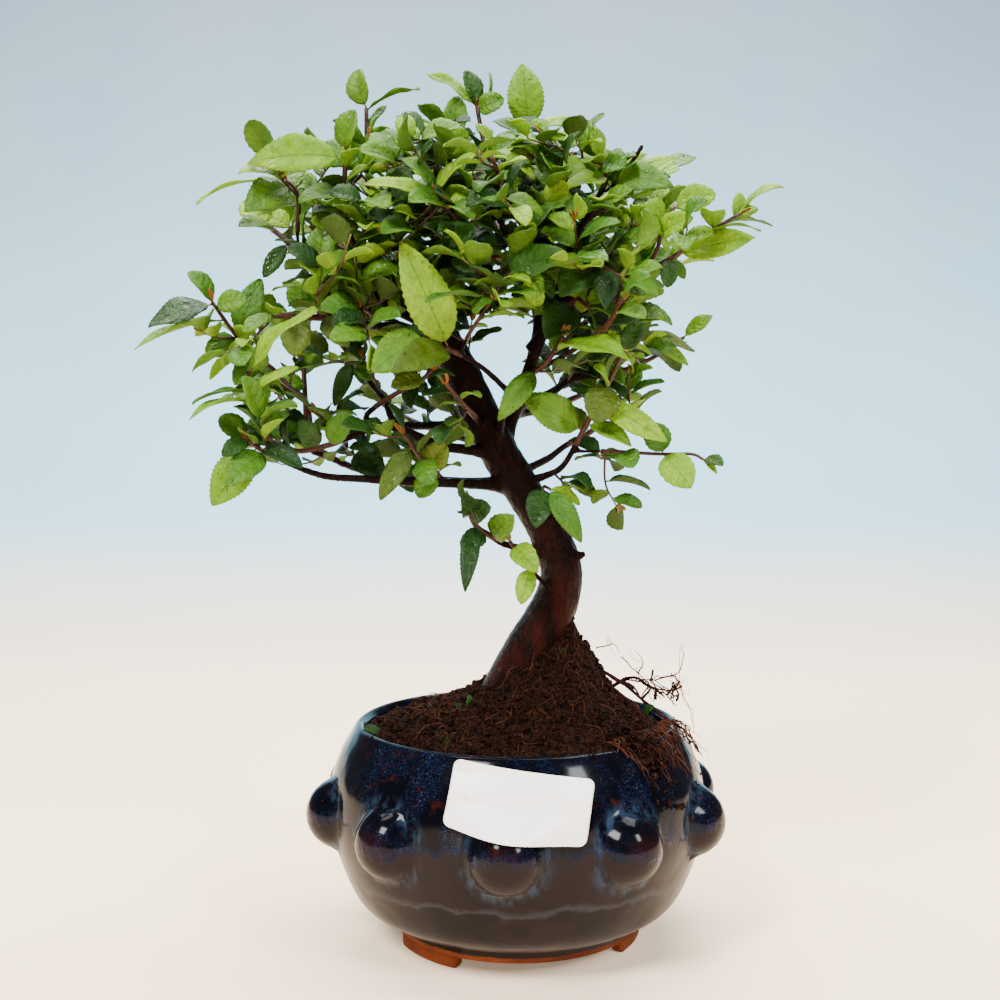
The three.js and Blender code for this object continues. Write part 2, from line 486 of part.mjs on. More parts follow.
function soilSolid(trunkHole) {
  const side = INNER_WALL.slice(1).map(([radius, height]) => [radius - GAP, height]).toReversed();
  const rings = SOIL_RINGS.map((radius) => [radius, SOIL_EDGE_HEIGHT]);
  const profile = [[0, FLOOR_HEIGHT + GAP], ...side, ...rings, [0, SOIL_EDGE_HEIGHT]];
  const edge = SOIL_RINGS[0] + 1;
  const filled = moveVertices(turned(profile, POT_SIDES), (point) => {
    if (Math.hypot(point.x, point.y) < edge && point.z > SOIL_EDGE_HEIGHT - 1) point.z = soilHeight(point.x, point.y);
  });
  const [spillX, spillY, spillZ] = SPILL.centre;
  const spill = new THREE.SphereGeometry(1, 10, 5).rotateX(Math.PI / 2).scale(...SPILL.size);
  const loose = [solid(spill.translate(spillX, spillY, spillZ))];
  for (const root of ROOTS) {
    const taper = (along) => root.radius * (1 - 0.4 * along);
    loose.push(stem(curveThrough(root.route), evenStops(0, 1, 7), taper, TWIG_SIDES));
  }
  const outside = OUTER_WALL.slice(-6).map(([radius, height]) => [radius + GAP, height + GAP]);
  const inside = INNER_WALL.slice(0, 3).map(([radius, height]) => [radius - GAP, height]);
  const lip = [...outside, [58.9, LIP_HEIGHT + GAP], ...inside, outside[0]];
  const rim = joined([solid(turned(lip, POT_SIDES)), ...bosses(BOSS_RADIUS + GAP)]);
  const clearOfRim = joined(loose).subtract(rim);
  return solid(filled).add(clearOfRim).subtract(trunkHole);
}

// Label

function smoothStep(low, high, value) {
  const share = Math.min(1, Math.max(0, (value - low) / (high - low)));
  return share * share * (3 - 2 * share);
}

function wallRadius(height) {
  const above = OUTER_WALL.findIndex((point) => point[1] >= Math.min(height, LIP_HEIGHT));
  const [[r0, z0], [r1, z1]] = [OUTER_WALL[above - 1], OUTER_WALL[above]];
  return r0 + ((r1 - r0) * (height - z0)) / (z1 - z0);
}

function labelSolid() {
  const tilt = radians(LABEL.tiltDeg);
  const bossAngle = radians(FIRST_BOSS_DEG);
  const place = (across, along) => {
    const a = (across * LABEL.width) / 2;
    const b = (along - 0.5) * LABEL.height;
    const height = LABEL.centreHeight + LABEL.lean * (a * Math.sin(tilt) + b * Math.cos(tilt));
    const arc = a * Math.cos(tilt) - b * Math.sin(tilt);
    const wall = Math.max(wallRadius(height), LABEL.stiffRadius - LABEL.stiffSlope * (height - LABEL.centreHeight));
    const angle = arc / wall;
    const overBoss = Math.exp(-(((angle - bossAngle) * BOSS_RING) ** 2) / 200) * smoothStep(67, 56, height);
    const radius = wall + 7.6 * overBoss + LABEL.lift;
    const outward = new THREE.Vector3(Math.cos(FRONT + angle), Math.sin(FRONT + angle), 0);
    const middle = outward.clone().multiplyScalar(radius).setZ(height);
    return { middle, up: outward };
  };
  return blade(place, 8, 4, LABEL.thickness);
}

// Leaf: a folded, arched blade from its base inside the twig to its tip

function leafFrame(spec) {
  const chord = spec.tip.clone().sub(spec.base);
  const length = chord.length();
  const along = chord.divideScalar(length);
  const normal = spec.face.clone().addScaledVector(along, -spec.face.dot(along)).normalize();
  const across = new THREE.Vector3().crossVectors(along, normal);
  return { ...spec, length, along, normal, across };
}

function leafHalfWidth(spec, share) {
  if (share <= PETIOLE_SHARE) return PETIOLE_HALF_WIDTH;
  const open = (share - PETIOLE_SHARE) / (1 - PETIOLE_SHARE);
  return Math.max((spec.width / 2) * Math.sin(Math.PI * open ** 0.72) ** 0.85, 0.05);
}

function leafPoint(spec, share, offset) {
  const rise = spec.arch * spec.length * 4 * share * (1 - share);
  const slope = spec.arch * 4 * (1 - 2 * share);
  const up = spec.normal.clone().addScaledVector(spec.along, -slope).normalize();
  const middle = spec.base.clone().addScaledVector(spec.along, spec.length * share);
  middle.addScaledVector(spec.normal, rise);
  middle.addScaledVector(spec.across, offset).addScaledVector(up, Math.abs(offset) * spec.fold);
  return { middle, up };
}

function leafSolid(spec) {
  const large = spec.length >= LARGE_LEAF;
  const shares = large ? [0, 0.16, 0.42, 0.72, 1] : [0, 0.34, 0.68, 1];
  const rows = shares.length - 1;
  const columns = spec.length >= FOLDED_LEAF ? 2 : 1;
  const place = (across, along) => {
    const row = Math.round(along * rows);
    const share = shares[row];
    const half = row === 0 || row === rows ? 0 : leafHalfWidth(spec, share);
    return leafPoint(spec, share, across * half);
  };
  return blade(place, columns, rows, BLADE_THICKNESS);
}

// Room between leaves and wood: points kept in a grid of cells, each with the branch that owns it, the distance
// that leaves of other branches keep from it, and the distance that the owner's own leaves keep
const TRUNK_OWNER = -1;
const cells = new Map();
const cellOf = (point) => [point.x, point.y, point.z].map((value) => Math.floor(value / CELL));

function remember(points, owner) {
  for (const { point, room, ownRoom } of points) {
    const key = cellOf(point).join(",");
    if (!cells.has(key)) cells.set(key, []);
    cells.get(key).push({ point, owner, room, ownRoom });
  }
}

function hasRoom(points, owner) {
  return points.every(({ point, share }) => {
    const [i, j, k] = cellOf(point);
    for (let di = -1; di <= 1; di++) {
      for (let dj = -1; dj <= 1; dj++) {
        for (let dk = -1; dk <= 1; dk++) {
          for (const other of cells.get([i + di, j + dj, k + dk].join(",")) ?? []) {
            if (other.owner === owner && share < NEAR_BASE) continue;
            const needed = other.owner === owner ? other.ownRoom : other.room;
            if (other.point.distanceTo(point) < needed) return false;
          }
        }
      }
    }
    return true;
  });
}

function leafSamples(spec) {
  const points = [];
  const steps = Math.ceil(spec.length / SAMPLE_STEP);
  for (let i = Math.ceil(PETIOLE_SHARE * steps); i <= steps; i++) {
    const half = leafHalfWidth(spec, i / steps);
    const columns = Math.max(1, Math.ceil((2 * half) / SAMPLE_STEP));
    for (let j = 0; j <= columns; j++) {
      const point = leafPoint(spec, i / steps, half * ((2 * j) / columns - 1)).middle;
      points.push({ point, share: i / steps, room: LEAF_ROOM, ownRoom: OWN_LEAF_ROOM });
    }
  }
  return points;
}

// Points on the axis of a stem and, where it is thick, on its skin
function stemSamples(curve, from, to, radiusAt) {
  const points = [];
  const steps = Math.ceil((curve.getLength() * (to - from)) / SAMPLE_STEP);
  for (let i = 0; i <= steps; i++) {
    const along = from + ((to - from) * i) / steps;
    const centre = curve.getPoint(along);
    const radius = radiusAt(along);
    const girth = Math.min(radius, THIN_WOOD);
    points.push({ point: centre, room: girth + WOOD_ROOM, ownRoom: girth + OWN_WOOD_ROOM });
    if (radius < THIN_WOOD) continue;
    const ring = Math.ceil((2 * Math.PI * radius) / 2);
    const tangent = curve.getTangent(along);
    const across = new THREE.Vector3().crossVectors(tangent, new THREE.Vector3(0.3, 0.9, 0.2)).normalize();
    for (let j = 0; j < ring; j++) {
      const spoke = across.clone().applyAxisAngle(tangent, (j * 2 * Math.PI) / ring);
      const point = centre.clone().addScaledVector(spoke, radius);
      points.push({ point, room: WOOD_ROOM, ownRoom: OWN_WOOD_ROOM });
    }
  }
  return points;
}

// Growth: every leaf of every branch, the hand-placed ones first
const DEPTH_SHIFTS = [0, -4, 4, -8, 8, -12, 12, -17, 17];
const SPINS_DEG = [0, 25, -25, 50, -50, 80, -80, 120, -120, 180];

function handLeaf(grown, index, number) {
  const hand = grown.leaves[number];
  const random = seeded(1000 + index * 40 + number);
  const base = grown.curve.getPoint(hand.at);
  const fold = 0.12 + 0.3 * random();
  const arch = 0.05 + 0.09 * random();
  for (const shift of DEPTH_SHIFTS) {
    const tip = vec(hand.tip).add(new THREE.Vector3(0, shift, 0));
    const spec = leafFrame({ base, tip, face: vec(hand.face), width: hand.width, fold, arch });
    if (hasRoom(leafSamples(spec), index)) return spec;
  }
  return null;
}

function ruleLeaf(grown, index, number) {
  const random = seeded(5000 + index * 40 + number);
  const share = (number + 1) / grown.ruleLeaves;
  const at = grown.leafyFrom + (1 - grown.leafyFrom) * (0.2 + 0.8 * share);
  const base = grown.curve.getPoint(at);
  const tangent = grown.curve.getTangent(at);
  const side = new THREE.Vector3().crossVectors(tangent, new THREE.Vector3(0.05, 0.1, 1)).normalize();
  const length = grown.size[0] + (grown.size[1] - grown.size[0]) * random();
  const width = length * (0.5 + 0.16 * random());
  const spread = radians(share === 1 ? 12 : 52 + 22 * random());
  const fold = 0.15 + 0.35 * random();
  const arch = 0.04 + 0.12 * random();
  const lift = 0.3 * random() - 0.08;
  const face = new THREE.Vector3(1.5 * (random() - 0.5), 1.5 * (random() - 0.5) - 0.45, 0.85);
  const handed = number % 2 === 0 ? 0 : Math.PI;
  for (const scale of [1, 0.8]) {
    for (const spin of SPINS_DEG) {
      const away = side.clone().applyAxisAngle(tangent, handed + radians(spin));
      const along = tangent.clone().multiplyScalar(Math.cos(spread)).addScaledVector(away, Math.sin(spread));
      along.z += lift;
      const tip = base.clone().addScaledVector(along.normalize(), length * scale);
      const spec = leafFrame({ base, tip, face, width: width * scale, fold, arch });
      if (hasRoom(leafSamples(spec), index)) return spec;
    }
  }
  return null;
}

const woodRadius = (spec) => (along) => spec.startRadius + (spec.endRadius - spec.startRadius) * along ** 0.6;

function grow() {
  const grown = BRANCHES.map((spec) => ({ ...spec, curve: curveThrough(spec.route), blades: [] }));
  const trunkCurve = curveThrough(TRUNK);
  remember(stemSamples(trunkCurve, 0, 1, trunkRadius), TRUNK_OWNER);
  grown.forEach((spec, index) => remember(stemSamples(spec.curve, 0, 1, woodRadius(spec)), index));
  const keep = (found, index) => {
    if (!found) return;
    grown[index].blades.push(found);
    remember(leafSamples(found), index);
  };
  grown.forEach((spec, index) => spec.leaves.forEach((_, i) => keep(handLeaf(spec, index, i), index)));
  grown.forEach((spec, index) => {
    for (let i = 0; i < spec.ruleLeaves; i++) keep(ruleLeaf(spec, index, i), index);
  });
  return grown;
}

// Wood

function trunkRadius(along) {
  const place = Math.min(along * (TRUNK.length - 1), TRUNK.length - 1.0001);
  const before = Math.floor(place);
  return TRUNK[before][3] + (TRUNK[before + 1][3] - TRUNK[before][3]) * (place - before);
}

const TRUNK_HINGE = new THREE.Vector3(0, 1, 0);

// Three blunt root ridges spread the foot of the trunk and fade out a little above the soil
function trunkSurface(along, angle) {
  const ridges = 0.16 * Math.max(0, 1 - along / 0.28) * Math.cos(3 * angle + 0.8);
  return trunkRadius(along) * (1 + ridges + 0.03 * Math.cos(2 * angle + 9 * along));
}

function trunkSolid(grown) {
  const trunkStops = evenStops(TRUNK_START, 1, TRUNK_STEPS);
  const pieces = [stem(curveThrough(TRUNK), trunkStops, trunkSurface, TRUNK_SIDES, TRUNK_HINGE)];
  const knotRadius = (along) => KNOT.radius[0] + (KNOT.radius[1] - KNOT.radius[0]) * along;
  pieces.push(stem(new THREE.LineCurve3(vec(KNOT.from), vec(KNOT.to)), [0, 1], knotRadius, 6));
  for (const spec of grown) {
    const sides = spec.startRadius > THICK_LIMB ? 5 : 3;
    pieces.push(stem(spec.curve, routeStops(spec.route, 0, spec.leafyFrom), woodRadius(spec), sides));
  }
  return joined(pieces);
}

// The plain hole that the foot of the trunk stands in: the same rings, a little wider
function trunkHole() {
  const top = TRUNK_START + ((1 - TRUNK_START) * HOLE_STEPS) / TRUNK_STEPS;
  const wider = (along, angle) => trunkSurface(along, angle) + GAP + 0.1;
  return stem(curveThrough(TRUNK), [0, ...evenStops(TRUNK_START, top, HOLE_STEPS)], wider, TRUNK_SIDES, TRUNK_HINGE);
}

function spraySolid(spec) {
  const cut = spec.curve.getPoint(spec.leafyFrom);
  const start = spec.leafyFrom + (0.01 * GAP) / cut.distanceTo(spec.curve.getPoint(spec.leafyFrom + 0.01));
  const twig = stem(spec.curve, routeStops(spec.route, start, 1), woodRadius(spec), TWIG_SIDES);
  return joined([twig, ...spec.blades.map(leafSolid)]);
}

// Materials
const finish = (color, roughness) => new THREE.MeshStandardMaterial({ color, roughness, metalness: 0 });
const GLAZE = finish(0x1b2238, 0.15);
const SOIL = finish(0x2e1a10, 0.95);
const BARK = finish(0x3a1c14, 0.5);
const PAPER = finish(0xf2f0ee, 0.6);
const LEAF_GREENS = [finish(0x5f9a2c, 0.4), finish(0x3f7f2a, 0.35), finish(0x2f6424, 0.35)];

// The whole piece
const grown = grow();
const bonsai = new THREE.Group();
bonsai.add(meshOf("pot", potSolid(), GLAZE));
bonsai.add(meshOf("soil", soilSolid(trunkHole()), SOIL));
bonsai.add(meshOf("trunk", trunkSolid(grown), BARK));
bonsai.add(meshOf("blank_label", labelSolid(), PAPER));
const crown = new THREE.Group();
grown.forEach((spec, index) => {
  if (spec.leafyFrom < 1) crown.add(meshOf(`spray_${spec.name}`, spraySolid(spec), LEAF_GREENS[index % 3]));
});
bonsai.add(crown);
bonsai.position.set(POT_AXIS_X, 0, 0);

export default bonsai;
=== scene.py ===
"""The looks of a Chinese sweet plum bonsai, Sageretia, in its round glazed pot.

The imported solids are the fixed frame, and finer pieces stand for them: a spun pot with its glaze, a rough
heap of soil with crumbs, fibres and hair roots, a trunk whose limbs grow into it, and toothed, veined leaves
that follow the same growth rule as the solids. Side twigs and small leaves fill the crown between them.

Shapes are worked out in millimetres about the pot's axis, and each finished mesh is brought into the frame.
"""

import logging
import math
from collections.abc import Callable, Iterable, Sequence
from dataclasses import dataclass, field
from enum import Enum
from functools import cached_property
from itertools import product

import bmesh
import bpy
import numpy as np
from mathutils import Matrix, Vector, noise


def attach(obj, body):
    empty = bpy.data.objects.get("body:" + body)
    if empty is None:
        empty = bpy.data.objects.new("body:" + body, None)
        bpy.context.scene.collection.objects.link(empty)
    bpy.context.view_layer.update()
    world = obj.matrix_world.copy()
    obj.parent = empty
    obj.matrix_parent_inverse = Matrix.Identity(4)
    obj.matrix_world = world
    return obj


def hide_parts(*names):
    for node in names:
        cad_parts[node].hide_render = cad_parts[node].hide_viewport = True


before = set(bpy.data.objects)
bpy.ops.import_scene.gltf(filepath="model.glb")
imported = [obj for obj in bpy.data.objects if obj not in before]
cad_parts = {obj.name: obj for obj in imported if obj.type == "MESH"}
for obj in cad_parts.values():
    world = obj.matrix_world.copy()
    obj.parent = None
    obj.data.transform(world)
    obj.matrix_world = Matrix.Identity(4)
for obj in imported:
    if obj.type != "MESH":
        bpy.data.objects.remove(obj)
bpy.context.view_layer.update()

LOG = logging.getLogger("bonsai")
BODY = "root"
MM = 0.001
POT_AXIS_X = 22.0
TO_FRAME = Matrix.Translation((POT_AXIS_X * MM, 0.0, 0.0)) @ Matrix.Scale(MM, 4)

Array = np.ndarray
Material = bpy.types.Material
Mesh = bmesh.types.BMesh
NodeTree = bpy.types.NodeTree
Pair = tuple[float, float]
Point = tuple[float, float, float]
Colour = tuple[float, float, float]
Socket = bpy.types.NodeSocket
Value = Socket | float
Inputs = dict[int | str, Value | Colour]
Place = Callable[[float, float], Sequence[float]]
Radius = Callable[[int, float], float]
Frames = Sequence[tuple[Array, Array]]

ACROSS = (0.3, 0.9, 0.2)
UPWARD = (0.05, 0.1, 1.0)
WARM = (1.0, 0.98, 0.95)


# Numbers, directions and smooth curves


class Draw:
    """A seeded source of numbers between 0 and 1, the same as the one that grew the solids."""

    def __init__(self, seed: int) -> None:
        """Starts the source and drops its first two numbers.

        Args:
            seed: Any whole number.
        """
        self.state = (seed * 7919 + 12345) % 4294967296
        self()
        self()

    def __call__(self) -> float:
        """The next number between 0 and 1."""
        self.state = (self.state * 1664525 + 1013904223) % 4294967296
        return self.state / 4294967296

    def between(self, low: float, high: float) -> float:
        """The next number between low and high."""
        return low + (high - low) * self()

    def aside(self) -> Array:
        """The next three numbers as a vector, each between -0.5 and 0.5."""
        return np.array([self() - 0.5, self() - 0.5, self() - 0.5])


def unit(vector: Array) -> Array:
    """The vector at length 1."""
    return vector / np.linalg.norm(vector)


def turned(vector: Array, axis: Array, angle: float) -> Array:
    """A vector turned about a unit axis.

    Args:
        vector: What is turned.
        axis: The unit axis.
        angle: Radians, by the right-hand rule.

    Returns:
        The turned vector.
    """
    cos, sin = math.cos(angle), math.sin(angle)
    return vector * cos + np.cross(axis, vector) * sin + axis * (axis @ vector) * (1 - cos)


def smooth_step(low: float, high: float, value: float) -> float:
    """0 below low, 1 above high and smooth between."""
    share = min(1.0, max(0.0, (value - low) / (high - low)))
    return share * share * (3 - 2 * share)


class Route:
    """A smooth curve through points, with places along it from 0 to 1."""

    def __init__(self, points: Sequence[Sequence[float]]) -> None:
        """Keeps the points that the curve passes through.

        Args:
            points: Two or more points in millimetres.
        """
        self.points = np.array(points, dtype=float)[:, :3]

    @cached_property
    def padded(self) -> Array:
        """The points with one more at each end, mirrored."""
        first, last = 2 * self.points[0] - self.points[1], 2 * self.points[-1] - self.points[-2]
        return np.vstack([first, self.points, last])

    def all_at(self, places: Sequence[float] | Array) -> Array:
        """The points at many places from 0 to 1, one in each row."""
        last = len(self.points) - 1
        travel = np.asarray(places) * last
        before = np.clip(travel.astype(int), 0, last - 1)
        share = (travel - before)[:, None]
        behind, start, end, ahead = (self.padded[before + step] for step in range(4))
        bend = 2 * behind - 5 * start + 4 * end - ahead
        twist = 3 * start - behind - 3 * end + ahead
        return start + 0.5 * share * ((end - behind) + share * (bend + share * twist))

    def at(self, place: float) -> Array:
        """The point at a place from 0 to 1."""
        return self.all_at([place])[0]

    def heading(self, place: float) -> Array:
        """The unit direction of the curve at a place from 0 to 1."""
        return unit(self.at(min(1.0, place + 1e-4)) - self.at(max(0.0, place - 1e-4)))

    @cached_property
    def length(self) -> float:
        """The length of the curve in millimetres."""
        line = self.all_at(np.arange(201) / 200)
        return float(np.linalg.norm(np.diff(line, axis=0), axis=1).sum())

    def line(self, start: float, end: float, spacing: float) -> list[float]:
        """Evenly spaced places from start to end, about a spacing in millimetres apart."""
        count = max(2, math.ceil(self.length * (end - start) / spacing))
        return [start + (end - start) * i / count for i in range(count + 1)]


# Mesh making


def add_sheet(mesh: Mesh, columns: int, rows: int, place: Place) -> list[bmesh.types.BMVert]:
    """Adds a grid of faces and bends it to shape.

    Args:
        mesh: Where the grid is added.
        columns: Faces across.
        rows: Faces along.
        place: Gives a point for a share across, from -1 to 1, and a share along, from 0 to 1.

    Returns:
        The new vertices.
    """
    made = bmesh.ops.create_grid(mesh, x_segments=columns, y_segments=rows, size=1.0)["verts"]
    for vertex in made:
        vertex.co = place(vertex.co.x, (vertex.co.y + 1) / 2)
    return made


def spun(profile: Iterable[Pair], steps: int) -> Mesh:
    """A mesh spun about the pot's axis from a line of radii and heights."""
    mesh = bmesh.new()
    line = [mesh.verts.new((radius, 0.0, height)) for radius, height in profile]
    edges = [mesh.edges.new(pair) for pair in zip(line, line[1:])]
    turn = {"cent": (0, 0, 0), "axis": (0, 0, 1), "angle": 2 * math.pi}
    bmesh.ops.spin(mesh, geom=line + edges, steps=steps, use_merge=True, **turn)
    bmesh.ops.remove_doubles(mesh, verts=mesh.verts, dist=0.02)
    return mesh


def add_rings(
    mesh: Mesh, centres: Sequence[Array], frames: Frames, radius: Radius, sides: int
) -> None:
    """Adds a round stem, closed at both ends.

    Args:
        mesh: Where it is added.
        centres: Points along its axis in millimetres.
        frames: Two directions across it at each centre.
        radius: Gives its radius for a number along the centres and an angle in radians.
        sides: Faces round it.
    """
    last = len(centres) - 1

    def place(across: float, along: float) -> Array:
        """A point of a ring, or of the middle of an end."""
        row = round(along * (last + 2)) - 1
        at = min(max(row, 0), last)
        if not 0 <= row <= last:
            return centres[at]
        angle = math.pi * across
        first, second = frames[at]
        return centres[at] + radius(at, angle) * (math.cos(angle) * first + math.sin(angle) * second)

    skin = add_sheet(mesh, sides, last + 2, place)
    bmesh.ops.remove_doubles(mesh, verts=skin, dist=1e-4)


def add_tube(mesh: Mesh, centres: Sequence[Array], radius: Radius, sides: int) -> None:
    """Adds a stem whose directions are carried along it without a twist, with the arguments of add_rings."""
    frames = []
    first = np.array(ACROSS)
    for heading in (unit(end) for end in np.gradient(np.array(centres), axis=0)):
        first = unit(first - heading * (first @ heading))
        frames.append((first, np.cross(heading, first)))
    add_rings(mesh, centres, frames, radius, sides)


class Gathering:
    """A large mesh that is built a batch at a time, since an operator slows down as its mesh grows."""

    BATCH = 40

    def __init__(self, uv_map: str = "") -> None:
        """Starts the mesh.

        Args:
            uv_map: The name of a map to lay out, if any.
        """
        self.uv_map = uv_map
        self.whole = bmesh.new()
        self.batch = bmesh.new()
        self.count = 0

    def next(self) -> Mesh:
        """The batch that takes the next small shape."""
        if self.count % self.BATCH == 0:
            self.pour()
        self.count += 1
        return self.batch

    def pour(self) -> None:
        """Moves the batch into the whole and starts a new one."""
        data = bpy.data.meshes.new("batch")
        self.batch.to_mesh(data)
        self.whole.from_mesh(data)
        bpy.data.meshes.remove(data)
        self.batch.free()
        self.batch = bmesh.new()
        if self.uv_map:
            self.batch.loops.layers.uv.new(self.uv_map)

    def done(self) -> Mesh:
        """The whole mesh."""
        self.pour()
        self.batch.free()
        return self.whole


def tapered(start: float, end: float, last: int, power: float = 1.0) -> Radius:
    """A radius that changes from start to end along the centres numbered 0 to last."""
    return lambda at, _: start + (end - start) * (at / last) ** power


def finished(
    mesh: Mesh, name: str, finishes: Iterable[Material], replaced: str,
    is_closed: bool = True,
) -> bpy.types.Object:
    """Turns a mesh in millimetres about the pot's axis into a smooth piece that rides on the one body.

    Args:
        mesh: The shape, which is freed.
        name: The piece's name.
        finishes: Its materials in slot order.
        replaced: The solid that it stands for.
        is_closed: Whether its faces are to be turned outward.

    Returns:
        The object, at the origin.
    """
    if is_closed:
        bmesh.ops.recalc_face_normals(mesh, faces=mesh.faces)
    mesh.transform(TO_FRAME)
    data = bpy.data.meshes.new(name)
    mesh.to_mesh(data)
    mesh.free()
    data.shade_smooth()
    for finish in finishes:
        data.materials.append(finish)
    piece = bpy.data.objects.new(name, data)
    bpy.context.collection.objects.link(piece)
    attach(piece, BODY)
    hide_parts(replaced)
    LOG.info("%s: %d faces", name, len(data.polygons))
    return piece


# Leaves and branches


class Face(Enum):
    """Which way the upper face of a leaf looks."""

    UP = (0.0, -0.12, 1.0)
    FRONT = (0.0, -1.0, 0.25)
    TILT = (0.0, -0.7, 0.7)
    SIDE = (1.0, -0.2, 0.1)


class Tone(Enum):
    """The age and colour of a leaf, as the tile of its map that it lies in."""

    YOUNG = 0
    GREEN = 1
    DARK = 2
    OLIVE = 3
    # A bluish green that paints in the sheen of glossy leaves at the front.
    GLOSSY = 4
    BUD = 5


UP, FRONT, TILT, SIDE = Face
YOUNG, GREEN, DARK, OLIVE, GLOSSY, BUD = Tone

HandLeaf = tuple[float, Point, float, Face, Tone]
Spacing = Array | float


@dataclass(frozen=True)
class Branch:
    """A limb of the tree and the spray of leaves at its end.

    Attributes:
        name: The spray's name.
        radii: The radius at the start and the end.
        leafy_from: The share of the limb that is bare wood.
        rule_leaves: How many leaves the growth rule sets.
        size: The shortest and longest of those leaves.
        side_twigs: How many side twigs grow from it.
        points: The points of its route.
        hand_leaves: The leaves listed one by one: the place along the limb, the tip, the greatest width, the
            side
        that its upper face looks to, and the tone.
    """

    name: str
    radii: Pair
    leafy_from: float
    rule_leaves: int
    size: Pair
    side_twigs: int
    points: tuple[Point, ...]
    hand_leaves: tuple[HandLeaf, ...]

    @cached_property
    def route(self) -> Route:
        """The curve of the limb."""
        return Route(self.points)

    def radius(self, place: float) -> float:
        """The radius of the wood at a place from 0 to 1."""
        start, end = self.radii
        return start + (end - start) * place**0.6


@dataclass
class LeafShape:
    """A folded, arched blade from its base inside a twig to its tip.

    Attributes:
        base: Where its stalk starts.
        tip: Where it ends.
        facing: The direction that its upper face looks in.
        width: Its greatest width.
        fold: How steeply the halves rise from the midrib.
        arch: How high it arches, as a share of its length.
        tone: Its age and colour.
        seed: A number of its own, for its waves and its shade.
    """

    base: Array
    tip: Array
    facing: Array
    width: float
    fold: float
    arch: float
    tone: Tone
    seed: int

    STALK_SHARE = 0.1
    STALK_HALF_WIDTH = 0.45
    SAMPLE_STEP = 1.5

    def __post_init__(self) -> None:
        """Works out the leaf's own directions."""
        chord = self.tip - self.base
        self.length = float(np.linalg.norm(chord))
        self.along = chord / self.length
        self.normal = unit(self.facing - self.along * (self.facing @ self.along))
        self.across = np.cross(self.along, self.normal)

    def swollen(self, share: float, opening: float, fullness: float, least: float) -> float:
        """Half the width of a blade.

        Args:
            share: A share of its length.
            opening: How early it opens, as a power.
            fullness: How blunt its ends are, as a power.
            least: The least that it may be.

        Returns:
            The half width, or that of the stalk.
        """
        if share <= self.STALK_SHARE:
            return self.STALK_HALF_WIDTH
        opened = min(1.0, (share - self.STALK_SHARE) / (1 - self.STALK_SHARE))
        swell = max(0.0, math.sin(math.pi * opened**opening))
        return max(self.width / 2 * swell**fullness, least)

    def half_width(self, share: float) -> float:
        """Half the width of the solid's blade at a share of its length."""
        return self.swollen(share, 0.72, 0.85, 0.05)

    def outline(self, share: float) -> float:
        """Half the width of the finished leaf, blunter at both ends than the solid's."""
        pointed = smooth_step(13.0, 22.0, self.length)
        return self.swollen(share, 0.9 - 0.12 * pointed, 0.56 + 0.18 * pointed, 0.08)

    def points(self, shares: Array, offsets: Array) -> Array:
        """Points of the middle surface.

        Args:
            shares: Shares of the length.
            offsets: Distances from the midrib.

        Returns:
            A point in each row.
        """
        shares, offsets = shares[:, None], offsets[:, None]
        upward = self.normal - self.along * (self.arch * 4 * (1 - 2 * shares))
        upward /= np.linalg.norm(upward, axis=1)[:, None]
        rise = self.arch * self.length * 4 * shares * (1 - shares)
        middle = self.base + self.along * (self.length * shares) + self.normal * rise
        return middle + self.across * offsets + upward * (np.abs(offsets) * self.fold)

    @cached_property
    def samples(self) -> tuple[Array, Array]:
        """Points spread over the blade, and the share of the length of each."""
        steps = math.ceil(self.length / self.SAMPLE_STEP)
        shares, offsets = [], []
        for i in range(math.ceil(self.STALK_SHARE * steps), steps + 1):
            half = self.half_width(i / steps)
            columns = max(1, math.ceil(2 * half / self.SAMPLE_STEP))
            shares += [i / steps] * (columns + 1)
            offsets += [half * (2 * j / columns - 1) for j in range(columns + 1)]
        return self.points(np.array(shares), np.array(offsets)), np.array(shares)


